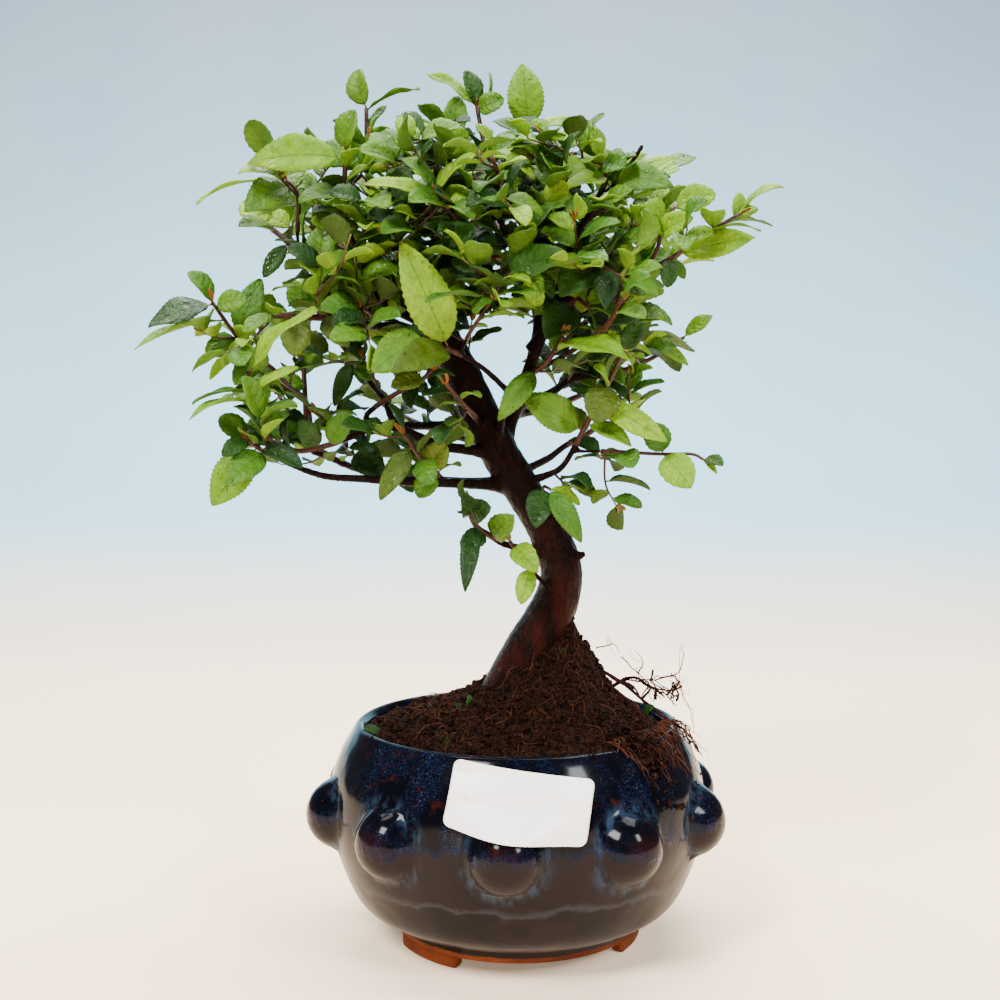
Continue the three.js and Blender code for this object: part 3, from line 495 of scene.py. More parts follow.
@dataclass
class Room:
    """The points that leaves keep clear of, with the owner of each and the distance that it asks for.

    Attributes:
        near_base: The share of a leaf within which it may touch its own branch.
        reach: The longest distance asked for.
        cell: The size of the boxes that the points are sorted into.
        rows: Every point, with its owner and its two distances.
        boxes: The numbers of the points in each box.
    """

    near_base: float = 0.27
    reach: float = 2.7
    cell: float = 9.0
    count: int = 0
    rows: Array = field(default_factory=lambda: np.zeros((4096, 6)))
    boxes: dict[tuple[int, int, int], list[int]] = field(default_factory=dict)

    def remember(self, points: Array, owner: int, room: Spacing, own_room: Spacing) -> None:
        """Adds points.

        Args:
            points: A point in each row.
            owner: The number of the branch that they belong to.
            room: What the leaves of other branches keep from each.
            own_room: What the branch's own leaves keep from each.
        """
        while self.count + len(points) > len(self.rows):
            self.rows = np.vstack([self.rows, np.zeros_like(self.rows)])
        fresh = slice(self.count, self.count + len(points))
        self.rows[fresh, :3] = points
        self.rows[fresh, 3] = owner
        self.rows[fresh, 4] = room
        self.rows[fresh, 5] = own_room
        for number, box in enumerate(np.floor(points / self.cell).astype(int).tolist(), self.count):
            self.boxes.setdefault(tuple(box), []).append(number)
        self.count += len(points)

    def near(self, points: Array) -> Array:
        """The rows of the known points that may be close to these."""
        low, high = points.min(axis=0) - self.reach, points.max(axis=0) + self.reach
        first, last = np.floor(low / self.cell).astype(int), np.floor(high / self.cell).astype(int)
        spans = [range(start, end + 1) for start, end in zip(first, last)]
        numbers = [number for box in product(*spans) for number in self.boxes.get(box, ())]
        known = self.rows[numbers]
        return known[((known[:, :3] > low) & (known[:, :3] < high)).all(axis=1)]

    def is_free(self, points: Array, shares: Array, owner: int, ease: float = 1.0) -> bool:
        """Whether a leaf has room.

        Args:
            points: Points of the leaf.
            shares: The share of the leaf's length of each.
            owner: The number of its branch.
            ease: What the distances asked for are multiplied by.

        Returns:
            True if every point keeps its distance.
        """
        near = self.near(points)
        if not len(near):
            return True
        distances = np.linalg.norm(points[:, None, :] - near[None, :, :3], axis=2)
        own = near[:, 3] == owner
        needed = ease * np.where(own, near[:, 5], near[:, 4])[None, :]
        forgiven = own[None, :] & (shares < self.near_base)[:, None]
        return bool(((distances >= needed) | forgiven).all())


@dataclass
class SideTwig:
    """A thin twig that grows from a limb, with the radius of its wood at both ends."""

    route: Route
    radii: Pair = (0.5, 0.3)


@dataclass
class Spray:
    """A limb with all that grows on it.

    Attributes:
        branch: The limb.
        number: Its number in the list.
        leaves: The leaves that found room.
        twigs: The side twigs that found room.
    """

    branch: Branch
    number: int
    leaves: list[LeafShape] = field(default_factory=list)
    twigs: list[SideTwig] = field(default_factory=list)


@dataclass(frozen=True)
class Heart:
    """A part of the crown that is filled in: its middle, its reach, how often it's tried, and a seed."""

    centre: Point
    reach: Point
    tries: int
    seed: int


@dataclass
class Growth:
    """The growth rule: first the leaves of the solids, in the same order, then the rest of the crown.

    Attributes:
        sprays: Every limb with what grows on it.
        room: What the leaves keep clear of.
        fill: How many side twigs grow for each one that a branch asks for.
        hearts: The parts of the crown that are filled in.
    """

    sprays: list[Spray]
    room: Room = field(default_factory=Room)
    fill: int = 2
    hearts: tuple[Heart, ...] = (
        Heart((-12, -2, 264), (80, 56, 38), 430, 1),
        Heart((-16, -34, 256), (62, 22, 32), 115, 2),
        Heart((34, -2, 230), (32, 38, 24), 40, 3),
        Heart((-66, -8, 222), (44, 42, 28), 28, 4),
        Heart((-52, -14, 190), (42, 30, 15), 18, 5),
        Heart((-39, -12, 177), (24, 18, 9), 18, 6),
        Heart((26, -10, 170), (14, 14, 12), 10, 7),
        Heart((60, -6, 226), (12, 22, 10), 16, 8),
    )

    THIN_WOOD = 1.2
    WOOD_ROOM = (1.4, 0.7)
    LEAF_ROOM = (2.4, 1.2)
    TWIG_ROOM = (1.2, 0.6)
    NO_OWNER = -2
    TRUNK_OWNER = -1
    HEART_ROOM = 1.6
    TWIG_REACH = (7, 36)
    HALF_DEPTH = 77
    BUD_SHARE = 0.3
    DEPTH_SHIFTS = (0, -4, 4, -8, 8, -12, 12, -17, 17)
    SPINS_DEG = (0, 25, -25, 50, -50, 80, -80, 120, -120, 180)
    EASE = 0.45
    SIZE = (9.5, 17.5)
    OUTLINE = (
        (150, -45, 45), (165, -112, 66), (185, -116, 64), (205, -120, 56), (222, -125, 64), (236, -108, 50),
        (248, -92, 58), (262, -92, 84), (276, -98, 90), (290, -102, 72), (310, -96, 40),
    )

    def remember_stem(self, route: Route, radius: Callable[[float], float], owner: int) -> None:
        """Keeps the points of a stem: its axis and, where it is thick, its skin.

        Args:
            route: The curve of the stem.
            radius: Gives its radius at a place from 0 to 1.
            owner: The number of its branch.
        """
        points, girths = [], []
        steps = math.ceil(route.length / LeafShape.SAMPLE_STEP)
        for i in range(steps + 1):
            centre, reach = route.at(i / steps), radius(i / steps)
            points.append(centre)
            girths.append(min(reach, self.THIN_WOOD))
            if reach < self.THIN_WOOD:
                continue
            heading = route.heading(i / steps)
            across = unit(np.cross(heading, ACROSS))
            spokes = math.ceil(math.pi * reach)
            for j in range(spokes):
                points.append(centre + reach * turned(across, heading, j * 2 * math.pi / spokes))
                girths.append(0.0)
        others, own = self.WOOD_ROOM
        girth = np.array(girths)
        self.room.remember(np.array(points), owner, girth + others, girth + own)

    def keep(self, spray: Spray, leaf: LeafShape | None) -> None:
        """Adds a leaf that found room to its spray."""
        if leaf is None:
            return
        spray.leaves.append(leaf)
        points, _ = leaf.samples
        self.room.remember(points, spray.number, *self.LEAF_ROOM)

    def hand_leaf(self, spray: Spray, number: int) -> LeafShape | None:
        """A listed leaf, moved in depth if it has no room.

        Args:
            spray: Where it grows.
            number: Its place in the branch's list.

        Returns:
            The leaf, or None if it has no room.
        """
        place, end, width, face, tone = spray.branch.hand_leaves[number]
        seed = 1000 + spray.number * 40 + number
        draw = Draw(seed)
        base = spray.branch.route.at(place)
        fold = 0.12 + 0.3 * draw()
        arch = 0.05 + 0.09 * draw()
        for shift in self.DEPTH_SHIFTS:
            tip = np.array(end, dtype=float) + (0.0, shift, 0.0)
            leaf = LeafShape(base, tip, np.array(face.value), width, fold, arch, tone, seed)
            if self.room.is_free(*leaf.samples, spray.number):
                return leaf
        return None

    def rule_leaf(
        self, spray: Spray, route: Route, leafy_from: float, number: int, count: int, seed: int,
        ease: float = 1.0, size: Pair | None = None,
    ) -> LeafShape | None:
        """A leaf set by the rule: on alternate sides, spun about its twig until it has room.

        Args:
            spray: Where it grows.
            route: The twig that carries it.
            leafy_from: The share of the twig without leaves.
            number: Its number on the twig.
            count: How many leaves the twig has.
            seed: The seed of its draws.
            ease: What the distances that it keeps are multiplied by.
            size: The shortest and longest leaf, if not the branch's own.

        Returns:
            The leaf, or None if it has no room.
        """
        draw = Draw(seed)
        share = (number + 1) / count
        at = leafy_from + (1 - leafy_from) * (0.2 + 0.8 * share)
        base, heading = route.at(at), route.heading(at)
        side = unit(np.cross(heading, UPWARD))
        length = draw.between(*(size or spray.branch.size))
        width = length * (0.5 + 0.16 * draw() + (0.03 if size else 0.0))
        spread = math.radians(12 if share == 1 else 52 + 22 * draw())
        fold = 0.15 + 0.35 * draw()
        arch = 0.04 + 0.12 * draw()
        lift = 0.3 * draw() - 0.08
        facing = np.array((1.5 * (draw() - 0.5), 1.5 * (draw() - 0.5) - 0.45, 0.85))
        tone = self.tone_and_shade_for(base, seed)
        for scale in (1.0, 0.8):
            for spin in self.SPINS_DEG:
                away = turned(side, heading, math.radians(spin) + (0 if number % 2 == 0 else math.pi))
                along = heading * math.cos(spread) + away * math.sin(spread) + (0.0, 0.0, lift)
                tip = base + unit(along) * length * scale
                leaf = LeafShape(base, tip, facing, width * scale, fold, arch, tone, seed)
                if self.room.is_free(*leaf.samples, spray.number, ease):
                    return leaf
        return None

    @staticmethod
    def tone_and_shade_for(base: Array, seed: int) -> Tone:
        """Young leaves stand high and far out, and old ones low and near the trunk; the darker tones in the
        heart of the crown are partly the leaves' age and partly painted shade.
        """
        outward = float(np.hypot(base[0] + 5, base[1])) / 110 + (base[2] - 170) / 260
        # Partly painted shade: the nearer the heart of the crown, the darker the tone.
        luck = Draw(70000 + seed)() + 1.05 * (outward - 0.62) + 0.002 * float(base[0])
        if luck > 0.84:
            return YOUNG
        if luck > 0.38:
            return GREEN
        return DARK if luck > -0.15 else OLIVE

    def side_twig(self, spray: Spray, number: int, count: int) -> None:
        """Grows one side twig and its leaves, if it has room.

        Args:
            spray: Where it grows.
            number: Its number on the limb.
            count: How many side twigs the limb has.
        """
        seed = 9000 + spray.number * 40 + number
        draw = Draw(seed)
        branch = spray.branch
        first = 0.75 * branch.leafy_from
        at = first + (0.97 - first) * (number + draw()) / count
        base, heading = branch.route.at(at), branch.route.heading(at)
        side = unit(np.cross(heading, UPWARD))
        length = draw.between(14, 25)
        spread = math.radians(draw.between(38, 62))
        for _ in range(6):
            away = turned(side, heading, math.radians(360 * draw()))
            course = unit(heading * math.cos(spread) + away * math.sin(spread) + (0.0, 0.0, 0.35))
            end = base + course * length
            if self.grow_twig(spray, base, end, draw, seed):
                return

    def grow_twig(self, spray: Spray, base: Array, end: Array, draw: Draw, seed: int) -> bool:
        """Grows a bowed twig with its leaves and sometimes a bud.

        Args:
            spray: Where it grows.
            base: Where it starts, inside the wood.
            end: Where it ends.
            draw: The source of its bow.
            seed: The seed of its leaves.

        Returns:
            True if it had room.
        """
        length = float(np.linalg.norm(end - base))
        bow = np.array((draw() - 0.5, draw() - 0.5, -0.35)) * 0.22 * length
        route = Route([base, (base + end) / 2 + bow, end])
        tail = np.array([route.at(place) for place in (0.4, 0.6, 0.8, 1.0)])
        if not self.is_inside(end, 8.0) or not self.room.is_free(tail, np.ones(4), self.NO_OWNER, self.EASE):
            return False
        spray.twigs.append(SideTwig(route))
        self.room.remember(tail, spray.number, *self.TWIG_ROOM)
        count = 4 + (seed % 2)
        for i in range(count):
            leaf_seed = 20000 + seed * 7 + i
            leaf = self.rule_leaf(spray, route, 0.1, i, count, leaf_seed, self.EASE, self.SIZE)
            if leaf is not None and self.is_inside(leaf.tip, -2.0):
                self.keep(spray, leaf)
        if draw() < self.BUD_SHARE:
            self.add_bud(spray, route, seed)
        return True

    def add_bud(self, spray: Spray, route: Route, seed: int) -> None:
        """Adds two small folded leaves, just opening, at the end of a twig.

        Args:
            spray: Where they grow.
            route: The twig.
            seed: The seed of their shape.
        """
        draw = Draw(seed)
        end, heading = route.at(1.0), route.heading(1.0)
        for spread in (-0.3, 0.35):
            aside = np.array((spread, -0.15 * draw(), 0.35))
            tip = end + unit(heading + aside) * draw.between(3.0, 5.6)
            facing = np.array((0.3, -0.8, 0.5))
            spray.leaves.append(LeafShape(end, tip, facing, 1.7, 0.5, 0.05, BUD, seed))

    def is_inside(self, point: Array, margin: float) -> bool:
        """Whether a point lies within the crown's outline.

        Args:
            point: Where it is.
            margin: How far inside it has to be.

        Returns:
            True if it does.
        """
        heights, lefts, rights = zip(*self.OUTLINE)
        left, right = np.interp(point[2], heights, lefts), np.interp(point[2], heights, rights)
        top = 309 - 0.0042 * max(0.0, point[0]) ** 2 - 0.0006 * point[0] ** 2 - 0.0035 * point[1] ** 2
        is_between = left + margin < point[0] < right - margin
        return bool(is_between and point[2] < top - margin and abs(point[1]) < self.HALF_DEPTH)

    def fill_heart(self) -> None:
        """Fills the heart of the crown with twigs that reach from the nearest wood into open space."""
        wood, owners = [], []
        for spray in self.sprays:
            if not spray.leaves:
                continue
            routes = [(spray.branch.route, 0.5 * spray.branch.leafy_from)]
            routes += [(twig.route, 0.2) for twig in spray.twigs]
            for route, start in routes:
                for place in route.line(start, 0.97, 3.0):
                    wood.append(route.at(place))
                    owners.append(spray)
        stems = np.array(wood)
        for heart in self.hearts:
            draw = Draw(heart.seed)
            for number in range(heart.tries):
                away = unit(draw.aside()) * draw() ** 0.4
                spot = np.array(heart.centre) + away * heart.reach
                if not self.room.is_free(spot[None, :], np.ones(1), self.NO_OWNER, self.HEART_ROOM):
                    continue
                distances = np.linalg.norm(stems - spot, axis=1)
                nearest = int(distances.argmin())
                if self.TWIG_REACH[0] < distances[nearest] < self.TWIG_REACH[1]:
                    seed = 3000 + heart.seed * 400 + number
                    self.grow_twig(owners[nearest], stems[nearest], spot, draw, seed)

    def grow(self, trunk: Route, trunk_radius: Callable[[float], float]) -> None:
        """Grows every leaf and side twig.

        Args:
            trunk: The curve of the trunk.
            trunk_radius: Gives its radius at a place from 0 to 1.
        """
        self.remember_stem(trunk, trunk_radius, self.TRUNK_OWNER)
        for spray in self.sprays:
            self.remember_stem(spray.branch.route, spray.branch.radius, spray.number)
        for spray in self.sprays:
            for number in range(len(spray.branch.hand_leaves)):
                self.keep(spray, self.hand_leaf(spray, number))
        for spray in self.sprays:
            limb, count = spray.branch, spray.branch.rule_leaves
            for number in range(count):
                seed = 5000 + spray.number * 40 + number
                self.keep(spray, self.rule_leaf(spray, limb.route, limb.leafy_from, number, count, seed))
        solid_leaves = sum(len(spray.leaves) for spray in self.sprays)
        for spray in self.sprays:
            count = spray.branch.side_twigs * self.fill
            for number in range(count):
                self.side_twig(spray, number, count)
        self.fill_heart()
        for spray in self.sprays:
            if spray.leaves and spray.number % 3 != 1:
                self.add_bud(spray, spray.branch.route, 600 + spray.number)
        all_leaves = sum(len(spray.leaves) for spray in self.sprays)
        LOG.info("%d leaves as in the solids, %d in all", solid_leaves, all_leaves)


# The limbs, in the order in which they grow

BRANCHES = (
    Branch("left_low", (2.6, 0.8), 0.8, 3, (10, 13), 1, ((-4, -2, 170), (-21, -10, 171), (-42, -18, 172),
     (-57, -23, 173), (-69, -27, 174), (-78, -30, 177), (-84, -33, 180), (-90, -35, 183), (-95, -36, 187)),
     ((0.92, (-107, -40, 164), 14, FRONT, YOUNG), (0.86, (-100, -45, 171), 11, FRONT, GREEN),
     (1.0, (-102, -42, 181), 6.5, FRONT, DARK), (0.9, (-75, -42, 177), 8, TILT, DARK))),
    Branch("left_rise", (1.1, 0.7), 0.2, 2, (10, 13), 0, ((-82, -32, 179), (-86, -31, 185), (-91, -33, 190),
     (-93, -37, 201), (-94, -39, 211)),
     ((0.97, (-68, -50, 231), 7.5, TILT, YOUNG), (0.8, (-112, -46, 199), 6, UP, GREEN),
     (0.72, (-112, -50, 194), 6.5, UP, YOUNG), (0.75, (-76, -44, 212), 6, TILT, YOUNG))),
    Branch("left_inner", (2.4, 0.8), 0.62, 4, (11, 15), 1, ((-4, 0, 172), (-18, 6, 171), (-45, 14, 173),
     (-63, 20, 176), (-76, 26, 181), (-82, 27, 183), (-84, 28, 187), (-85, 30, 202), (-86, 32, 217),
     (-87, 33, 230), (-88, 34, 239)),
     ((0.88, (-75, 26, 223), 10, FRONT, OLIVE), (0.76, (-95, 26, 207), 9, FRONT, GREEN))),
    Branch("left_reach", (1.3, 0.7), 0.3, 3, (11, 15), 1, ((-82, 27, 183), (-82, 25, 193), (-83, 19, 203),
     (-88, 8, 208), (-92, -4, 214), (-99, -14, 220), (-103, -21, 226), (-109, -28, 236)),
     ((0.92, (-133, -40, 218), 9, UP, YOUNG), (0.99, (-129, -30, 226), 13, TILT, DARK),
     (0.98, (-96, -30, 237), 8.5, FRONT, GREEN), (0.8, (-94, -16, 246), 11, FRONT, GREEN),
     (0.8, (-112, -26, 217), 9.5, FRONT, GREEN), (0.71, (-113, -16, 209), 6, TILT, YOUNG),
     (0.65, (-103, -24, 207), 9, FRONT, GREEN))),
    Branch("left_fork", (2.8, 0.9), 0.68, 3, (10, 13), 1, ((-8, -5, 180), (-15, -9, 183), (-28, -14, 185),
     (-43, -19, 191), (-51, -21, 192), (-61, -23, 188), (-69, -25, 185), (-79, -26, 183), (-85, -26, 186)),
     ((0.78, (-78, -30, 194), 8, FRONT, DARK), (0.74, (-59, -30, 197), 9, FRONT, GREEN))),
    Branch("left_curl", (1.6, 0.8), 0.42, 3, (10, 13), 0, ((-51, -21, 192), (-55, -23, 195), (-51, -27, 199),
     (-42, -33, 204), (-35, -38, 207), (-30, -42, 211)),
     ((0.88, (-44, -46, 205), 7, FRONT, OLIVE),)),
    Branch("left_hang", (1.1, 0.7), 0.22, 2, (10, 13), 0, ((-25, -12, 171), (-30, -19, 175), (-34, -24, 179),
     (-38, -28, 185), (-41, -30, 189)),
     ((0.75, (-49, -34, 166), 8.5, FRONT, OLIVE), (0.28, (-36, -24, 166), 8.5, FRONT, GREEN),
     (0.37, (-26, -30, 186), 10, FRONT, OLIVE), (0.56, (-31, -36, 171), 9, FRONT, GREEN))),
    Branch("left_back", (2.4, 0.9), 0.62, 3, (11, 15), 2, ((-16, 0, 194), (-30, 9, 193), (-47, 17, 194),
     (-52, 20, 203), (-58, 24, 210), (-68, 30, 223), (-77, 36, 234), (-84, 41, 245)),
     ((0.68, (-73, 28, 201), 7, FRONT, DARK), (0.73, (-58, 22, 229), 9, FRONT, OLIVE))),
    Branch("left_mid", (2.4, 0.9), 0.5, 3, (11, 15), 1, ((-30, -1, 226), (-44, -10, 229), (-54, -15, 229),
     (-66, -20, 231), (-78, -26, 231), (-86, -30, 231), (-91, -33, 228)),
     ((0.67, (-79, -32, 216), 11, FRONT, OLIVE), (0.84, (-96, -38, 224), 7, TILT, GREEN),
     (0.56, (-60, -30, 220), 9, FRONT, OLIVE))),
    Branch("left_mid_leaf", (1.0, 0.6), 0.3, 2, (11, 15), 0, ((-52, -14, 229), (-53, -20, 232),
     (-54, -26, 233), (-56, -30, 234)),
     ((1.0, (-69, -42, 232), 9.5, FRONT, GREEN),)),
    Branch("left_top_stub", (1.8, 1.0), 0.68, 3, (12, 17), 1, ((-63, -19, 231), (-69, -18, 239),
     (-74, -14, 249), (-81, -10, 256), (-87, -7, 262), (-93, -5, 267)),
     ((0.74, (-94, -14, 247), 6.5, FRONT, DARK),)),
    Branch("left_top_twig", (1.1, 0.6), 0.25, 2, (12, 17), 1, ((-81, -10, 256), (-81, -12, 265),
     (-80, -15, 273), (-81, -17, 278), (-84, -19, 281)),
     ((0.87, (-97, -28, 268), 13, FRONT, GREEN), (0.84, (-115, -26, 272), 5, UP, YOUNG),
     (0.48, (-94, -20, 268), 8, TILT, YOUNG))),
    Branch("left_crown", (2.6, 0.8), 0.48, 4, (12, 17), 1, ((-35, 1, 232), (-49, -8, 238), (-56, -14, 251),
     (-62, -20, 264), (-62, -25, 278), (-61, -29, 289)),
     ((0.95, (-94, -36, 283), 14, FRONT, YOUNG), (0.76, (-77, -34, 270), 10, TILT, GREEN),
     (0.6, (-73, -32, 264), 8, FRONT, GREEN), (0.89, (-71, -20, 294), 12, FRONT, GREEN))),
    Branch("crown_spike", (1.3, 0.8), 0.22, 3, (12, 17), 1, ((-56, -14, 251), (-53, -8, 263), (-55, -6, 276),
     (-56, -6, 291), (-56, -7, 310)),
     ((0.99, (-36, -12, 316), 5, UP, GREEN), (0.9, (-49, -2, 312), 3.5, TILT, GREEN),
     (0.71, (-68, -10, 298), 14, FRONT, GREEN), (0.71, (-44, 2, 300), 12, FRONT, GREEN))),
    Branch("crown_left_up", (2.6, 0.8), 0.48, 4, (12, 17), 1, ((-44, 6, 253), (-39, 4, 263), (-32, 0, 274),
     (-27, -4, 284), (-25, -6, 293), (-25, -7, 298)),
     ((0.94, (-25, -4, 308), 4, SIDE, GREEN), (0.59, (-41, -12, 295), 6, TILT, DARK))),
    Branch("crown_front", (1.5, 0.8), 0.35, 3, (12, 17), 1, ((-39, 4, 263), (-33, -10, 260), (-27, -22, 260),
     (-21, -32, 262), (-25, -38, 267), (-29, -42, 271)),
     ((0.67, (-22, -44, 253), 13.5, FRONT, GLOSSY), (1.0, (-14, -46, 284), 6, TILT, YOUNG),
     (1.0, (-52, -50, 273), 8, TILT, YOUNG))),
    Branch("front_red", (2.0, 0.8), 0.725, 2, (11, 15), 0, ((-7, -6, 184), (-6, -13, 195), (-3, -17, 203),
     (-7, -21, 208), (-13, -27, 213), (-20, -32, 217), (-28, -37, 220), (-32, -40, 223)),
     ((1.0, (-50, -50, 210), 15, FRONT, GREEN), (0.79, (-42, -46, 209), 12, FRONT, OLIVE),
     (0.79, (-40, -46, 254), 16, FRONT, YOUNG))),
    Branch("front_green", (0.9, 0.6), 0.25, 1, (12, 17), 0, ((-20, -32, 217), (-18, -35, 223),
     (-11, -39, 233), (-6, -42, 241), (-1, -44, 246)),
     ((0.55, (-31, -52, 231), 8, UP, GLOSSY), (0.39, (2, -40, 229), 7, UP, GREEN),
     (0.85, (15, -50, 251), 11, FRONT, GLOSSY))),
    Branch("front_red_right", (1.4, 0.8), 0.3, 2, (11, 15), 1, ((-3, -17, 203), (4, -20, 210), (10, -23, 215),
     (14, -26, 220), (16, -28, 224)),
     ((0.66, (37, -40, 213), 10, TILT, YOUNG), (0.36, (-7, -32, 194), 9, FRONT, GREEN))),
    Branch("right_low", (2.0, 0.7), 0.46, 2, (11, 15), 0, ((4, -3, 172), (11, -9, 174), (17, -15, 178),
     (23, -20, 189), (28, -25, 199), (33, -29, 209), (37, -32, 218)),
     ((0.7, (52, -38, 186), 9.5, FRONT, YOUNG), (0.8, (27, -34, 193), 13, FRONT, OLIVE),
     (0.52, (1, -26, 203), 13, FRONT, GREEN), (0.56, (40, -32, 185), 8, TILT, YOUNG))),
    Branch("right_thread", (0.9, 0.5), 0.22, 1, (8, 10), 0, ((20, -17, 183), (33, -23, 183), (50, -30, 182),
     (61, -34, 182), (65, -37, 180)),
     ((0.53, (60, -36, 170), 12.5, FRONT, YOUNG), (0.53, (47, -34, 193), 10, FRONT, GREEN),
     (0.32, (41, -28, 177), 9, FRONT, GREEN), (0.96, (69, -40, 175), 2.5, TILT, YOUNG))),
    Branch("right_low_back", (2.0, 0.9), 0.42, 3, (11, 15), 1, ((1, 0, 175), (12, 10, 180), (19, 15, 185),
     (30, 21, 191), (37, 25, 199), (43, 28, 207)),
     ((0.58, (20, 26, 200), 8, FRONT, OLIVE),)),
    Branch("trunk_long_leaf", (1.0, 0.6), 0.45, 0, (8, 10), 0, ((6, -4, 168), (9, -11, 169), (10, -14, 170),
     (12, -17, 169)),
     ((0.91, (23, -24, 150), 8.5, FRONT, GREEN), (0.51, (6, -24, 155), 10, FRONT, DARK),
     (0.91, (23, -12, 163), 6, TILT, YOUNG))),
    Branch("low_left", (1.9, 0.8), 0.35, 2, (8, 10), 0, ((11, -1, 144), (-4, -9, 148), (-9, -12, 151),
     (-15, -15, 155), (-18, -16, 161), (-19, -17, 165)),
     ((0.49, (-21, -18, 148), 8, FRONT, DARK), (0.65, (-19, -24, 133), 7, FRONT, DARK),
     (0.74, (-10, -20, 163), 9, FRONT, DARK), (0.41, (-1, -20, 160), 10, FRONT, GREEN),
     (0.78, (-20, -20, 169), 8, FRONT, DARK))),
    Branch("low_left_twig", (1.3, 0.7), 0.35, 1, (8, 9), 0, ((13, -4, 130), (6, -12, 138), (1, -16, 145),
     (-3, -18, 150)),
     ((0.87, (7, -30, 140), 9, FRONT, YOUNG), (0.41, (1, -22, 127), 7.5, FRONT, YOUNG))),
    Branch("leader", (4.2, 0.7), 0.66, 4, (12, 17), 2, ((-7, 0, 184), (-2, 4, 197), (3, 4, 209), (6, 2, 219),
     (8, 3, 231), (6, 8, 245), (4, 12, 259), (4, 14, 272), (5, 12, 284), (4, 8, 296), (4, 5, 305)),
     ((0.99, (2, 2, 329), 14, FRONT, YOUNG), (0.98, (24, 0, 306), 8, TILT, YOUNG),
     (0.9, (18, -8, 291), 12, FRONT, DARK), (0.92, (-8, 4, 302), 8, TILT, DARK))),
    Branch("right_mid_back", (2.4, 0.9), 0.45, 3, (11, 15), 2, ((0, 4, 201), (12, 14, 205), (22, 21, 212),
     (34, 27, 219), (45, 31, 227), (50, 33, 234), (52, 34, 244)),
     ((0.77, (71, 24, 222), 7, TILT, OLIVE), (0.74, (69, 20, 217), 8, TILT, YOUNG),
     (0.93, (42, 28, 247), 10, FRONT, GREEN), (1.0, (57, 30, 250), 8, FRONT, GREEN))),
    Branch("crown_mid", (1.8, 0.8), 0.35, 4, (12, 17), 1, ((6, 8, 245), (0, 1, 257), (-7, -5, 271),
     (-11, -8, 289), (-15, -8, 310)),
     ((1.0, (-33, -12, 321), 7, TILT, YOUNG), (0.98, (-5, -12, 312), 8.5, FRONT, GREEN),
     (0.97, (-11, -4, 324), 4, SIDE, GREEN), (0.8, (6, -30, 279), 8, TILT, YOUNG))),
    Branch("right_crown", (2.6, 0.8), 0.76, 4, (12, 17), 2, ((6, 2, 221), (13, -4, 234), (16, -8, 247),
     (20, -12, 259), (25, -16, 268), (29, -18, 275), (32, -20, 282), (29, -22, 288)),
     ((0.95, (38, -30, 283), 11, FRONT, GREEN), (1.0, (25, -24, 299), 7, TILT, YOUNG),
     (0.85, (17, -36, 275), 10, TILT, YOUNG), (0.86, (54, -34, 276), 11.5, FRONT, GREEN))),
    Branch("right_stub", (1.3, 1.0), 1, 0, (8, 10), 0, ((28, -17, 273), (33, -19, 277), (38, -20, 283),
     (45, -22, 293)),
     ()),
    Branch("right_reach", (1.9, 0.6), 0.5, 3, (12, 17), 1, ((14, -5, 238), (25, -14, 241), (36, -22, 244),
     (45, -28, 247), (54, -33, 251), (66, -38, 259), (73, -41, 263), (77, -42, 265)),
     ((0.59, (81, -44, 256), 10.5, FRONT, YOUNG), (0.7, (80, -50, 256), 5, UP, GREEN),
     (0.75, (89, -38, 262), 5, UP, GREEN), (0.96, (80, -43, 266), 1.6, TILT, YOUNG),
     (0.56, (52, -36, 240), 6.5, FRONT, DARK), (0.56, (59, -38, 244), 6, TILT, GREEN))),
    Branch("right_reach_up", (1.0, 0.7), 0.2, 2, (12, 17), 1, ((45, -28, 247), (49, -30, 254), (51, -31, 262),
     (55, -32, 269)),
     ((0.7, (42, -40, 266), 13, FRONT, YOUNG), (0.97, (69, -34, 273), 10, FRONT, YOUNG),
     (0.54, (60, -36, 263), 9, FRONT, YOUNG))),
    Branch("right_mid", (1.5, 0.8), 0.25, 2, (12, 17), 1, ((16, -8, 247), (22, -18, 250), (26, -28, 250),
     (30, -36, 247), (35, -42, 243)),
     ((0.55, (14, -42, 236), 14, FRONT, DARK), (0.77, (29, -44, 231), 9, FRONT, DARK),
     (0.34, (30, -36, 257), 10, TILT, GREEN), (0.96, (49, -48, 245), 8, TILT, GREEN))),
    Branch("right_mid_low", (1.3, 0.8), 0.28, 2, (12, 17), 0, ((13, -4, 234), (18, -14, 234), (21, -22, 238),
     (25, -30, 234)),
     ((0.52, (10, -30, 223), 14, FRONT, DARK), (0.96, (27, -32, 220), 4, SIDE, DARK))),
    Branch("back_low_left", (2.4, 0.9), 0.45, 5, (11, 15), 2, ((-7, -2, 183), (-14, 12, 186), (-28, 28, 190),
     (-44, 42, 196), (-56, 52, 204)),
     ()),
    Branch("back_low_right", (2.4, 0.9), 0.42, 5, (11, 15), 2, ((-2, 4, 197), (8, 18, 199), (20, 34, 203),
     (32, 46, 209), (40, 56, 217)),
     ()),
    Branch("back_mid", (2.4, 0.9), 0.42, 5, (11, 15), 2, ((-20, -2, 211), (-20, 14, 215), (-21, 32, 222),
     (-24, 48, 231), (-25, 60, 240)),
     ()),
    Branch("back_mid_left", (2.2, 0.9), 0.42, 5, (11, 15), 2, ((-27, 1, 225), (-38, 16, 230), (-54, 32, 237),
     (-70, 42, 245), (-82, 46, 254)),
     ()),
    Branch("back_far_left", (1.3, 0.8), 0.25, 5, (11, 15), 1, ((-69, 23, 178), (-80, 34, 184), (-90, 40, 194),
     (-98, 42, 206)),
     ()),
    Branch("back_top_left", (2.2, 0.9), 0.3, 5, (12, 17), 2, ((-43, 5, 249), (-48, 20, 256), (-56, 34, 267),
     (-62, 42, 281)),
     ()),
    Branch("left_top_back", (2.2, 0.8), 0.3, 5, (12, 17), 2, ((-45, 6, 252), (-60, 14, 258), (-76, 20, 266),
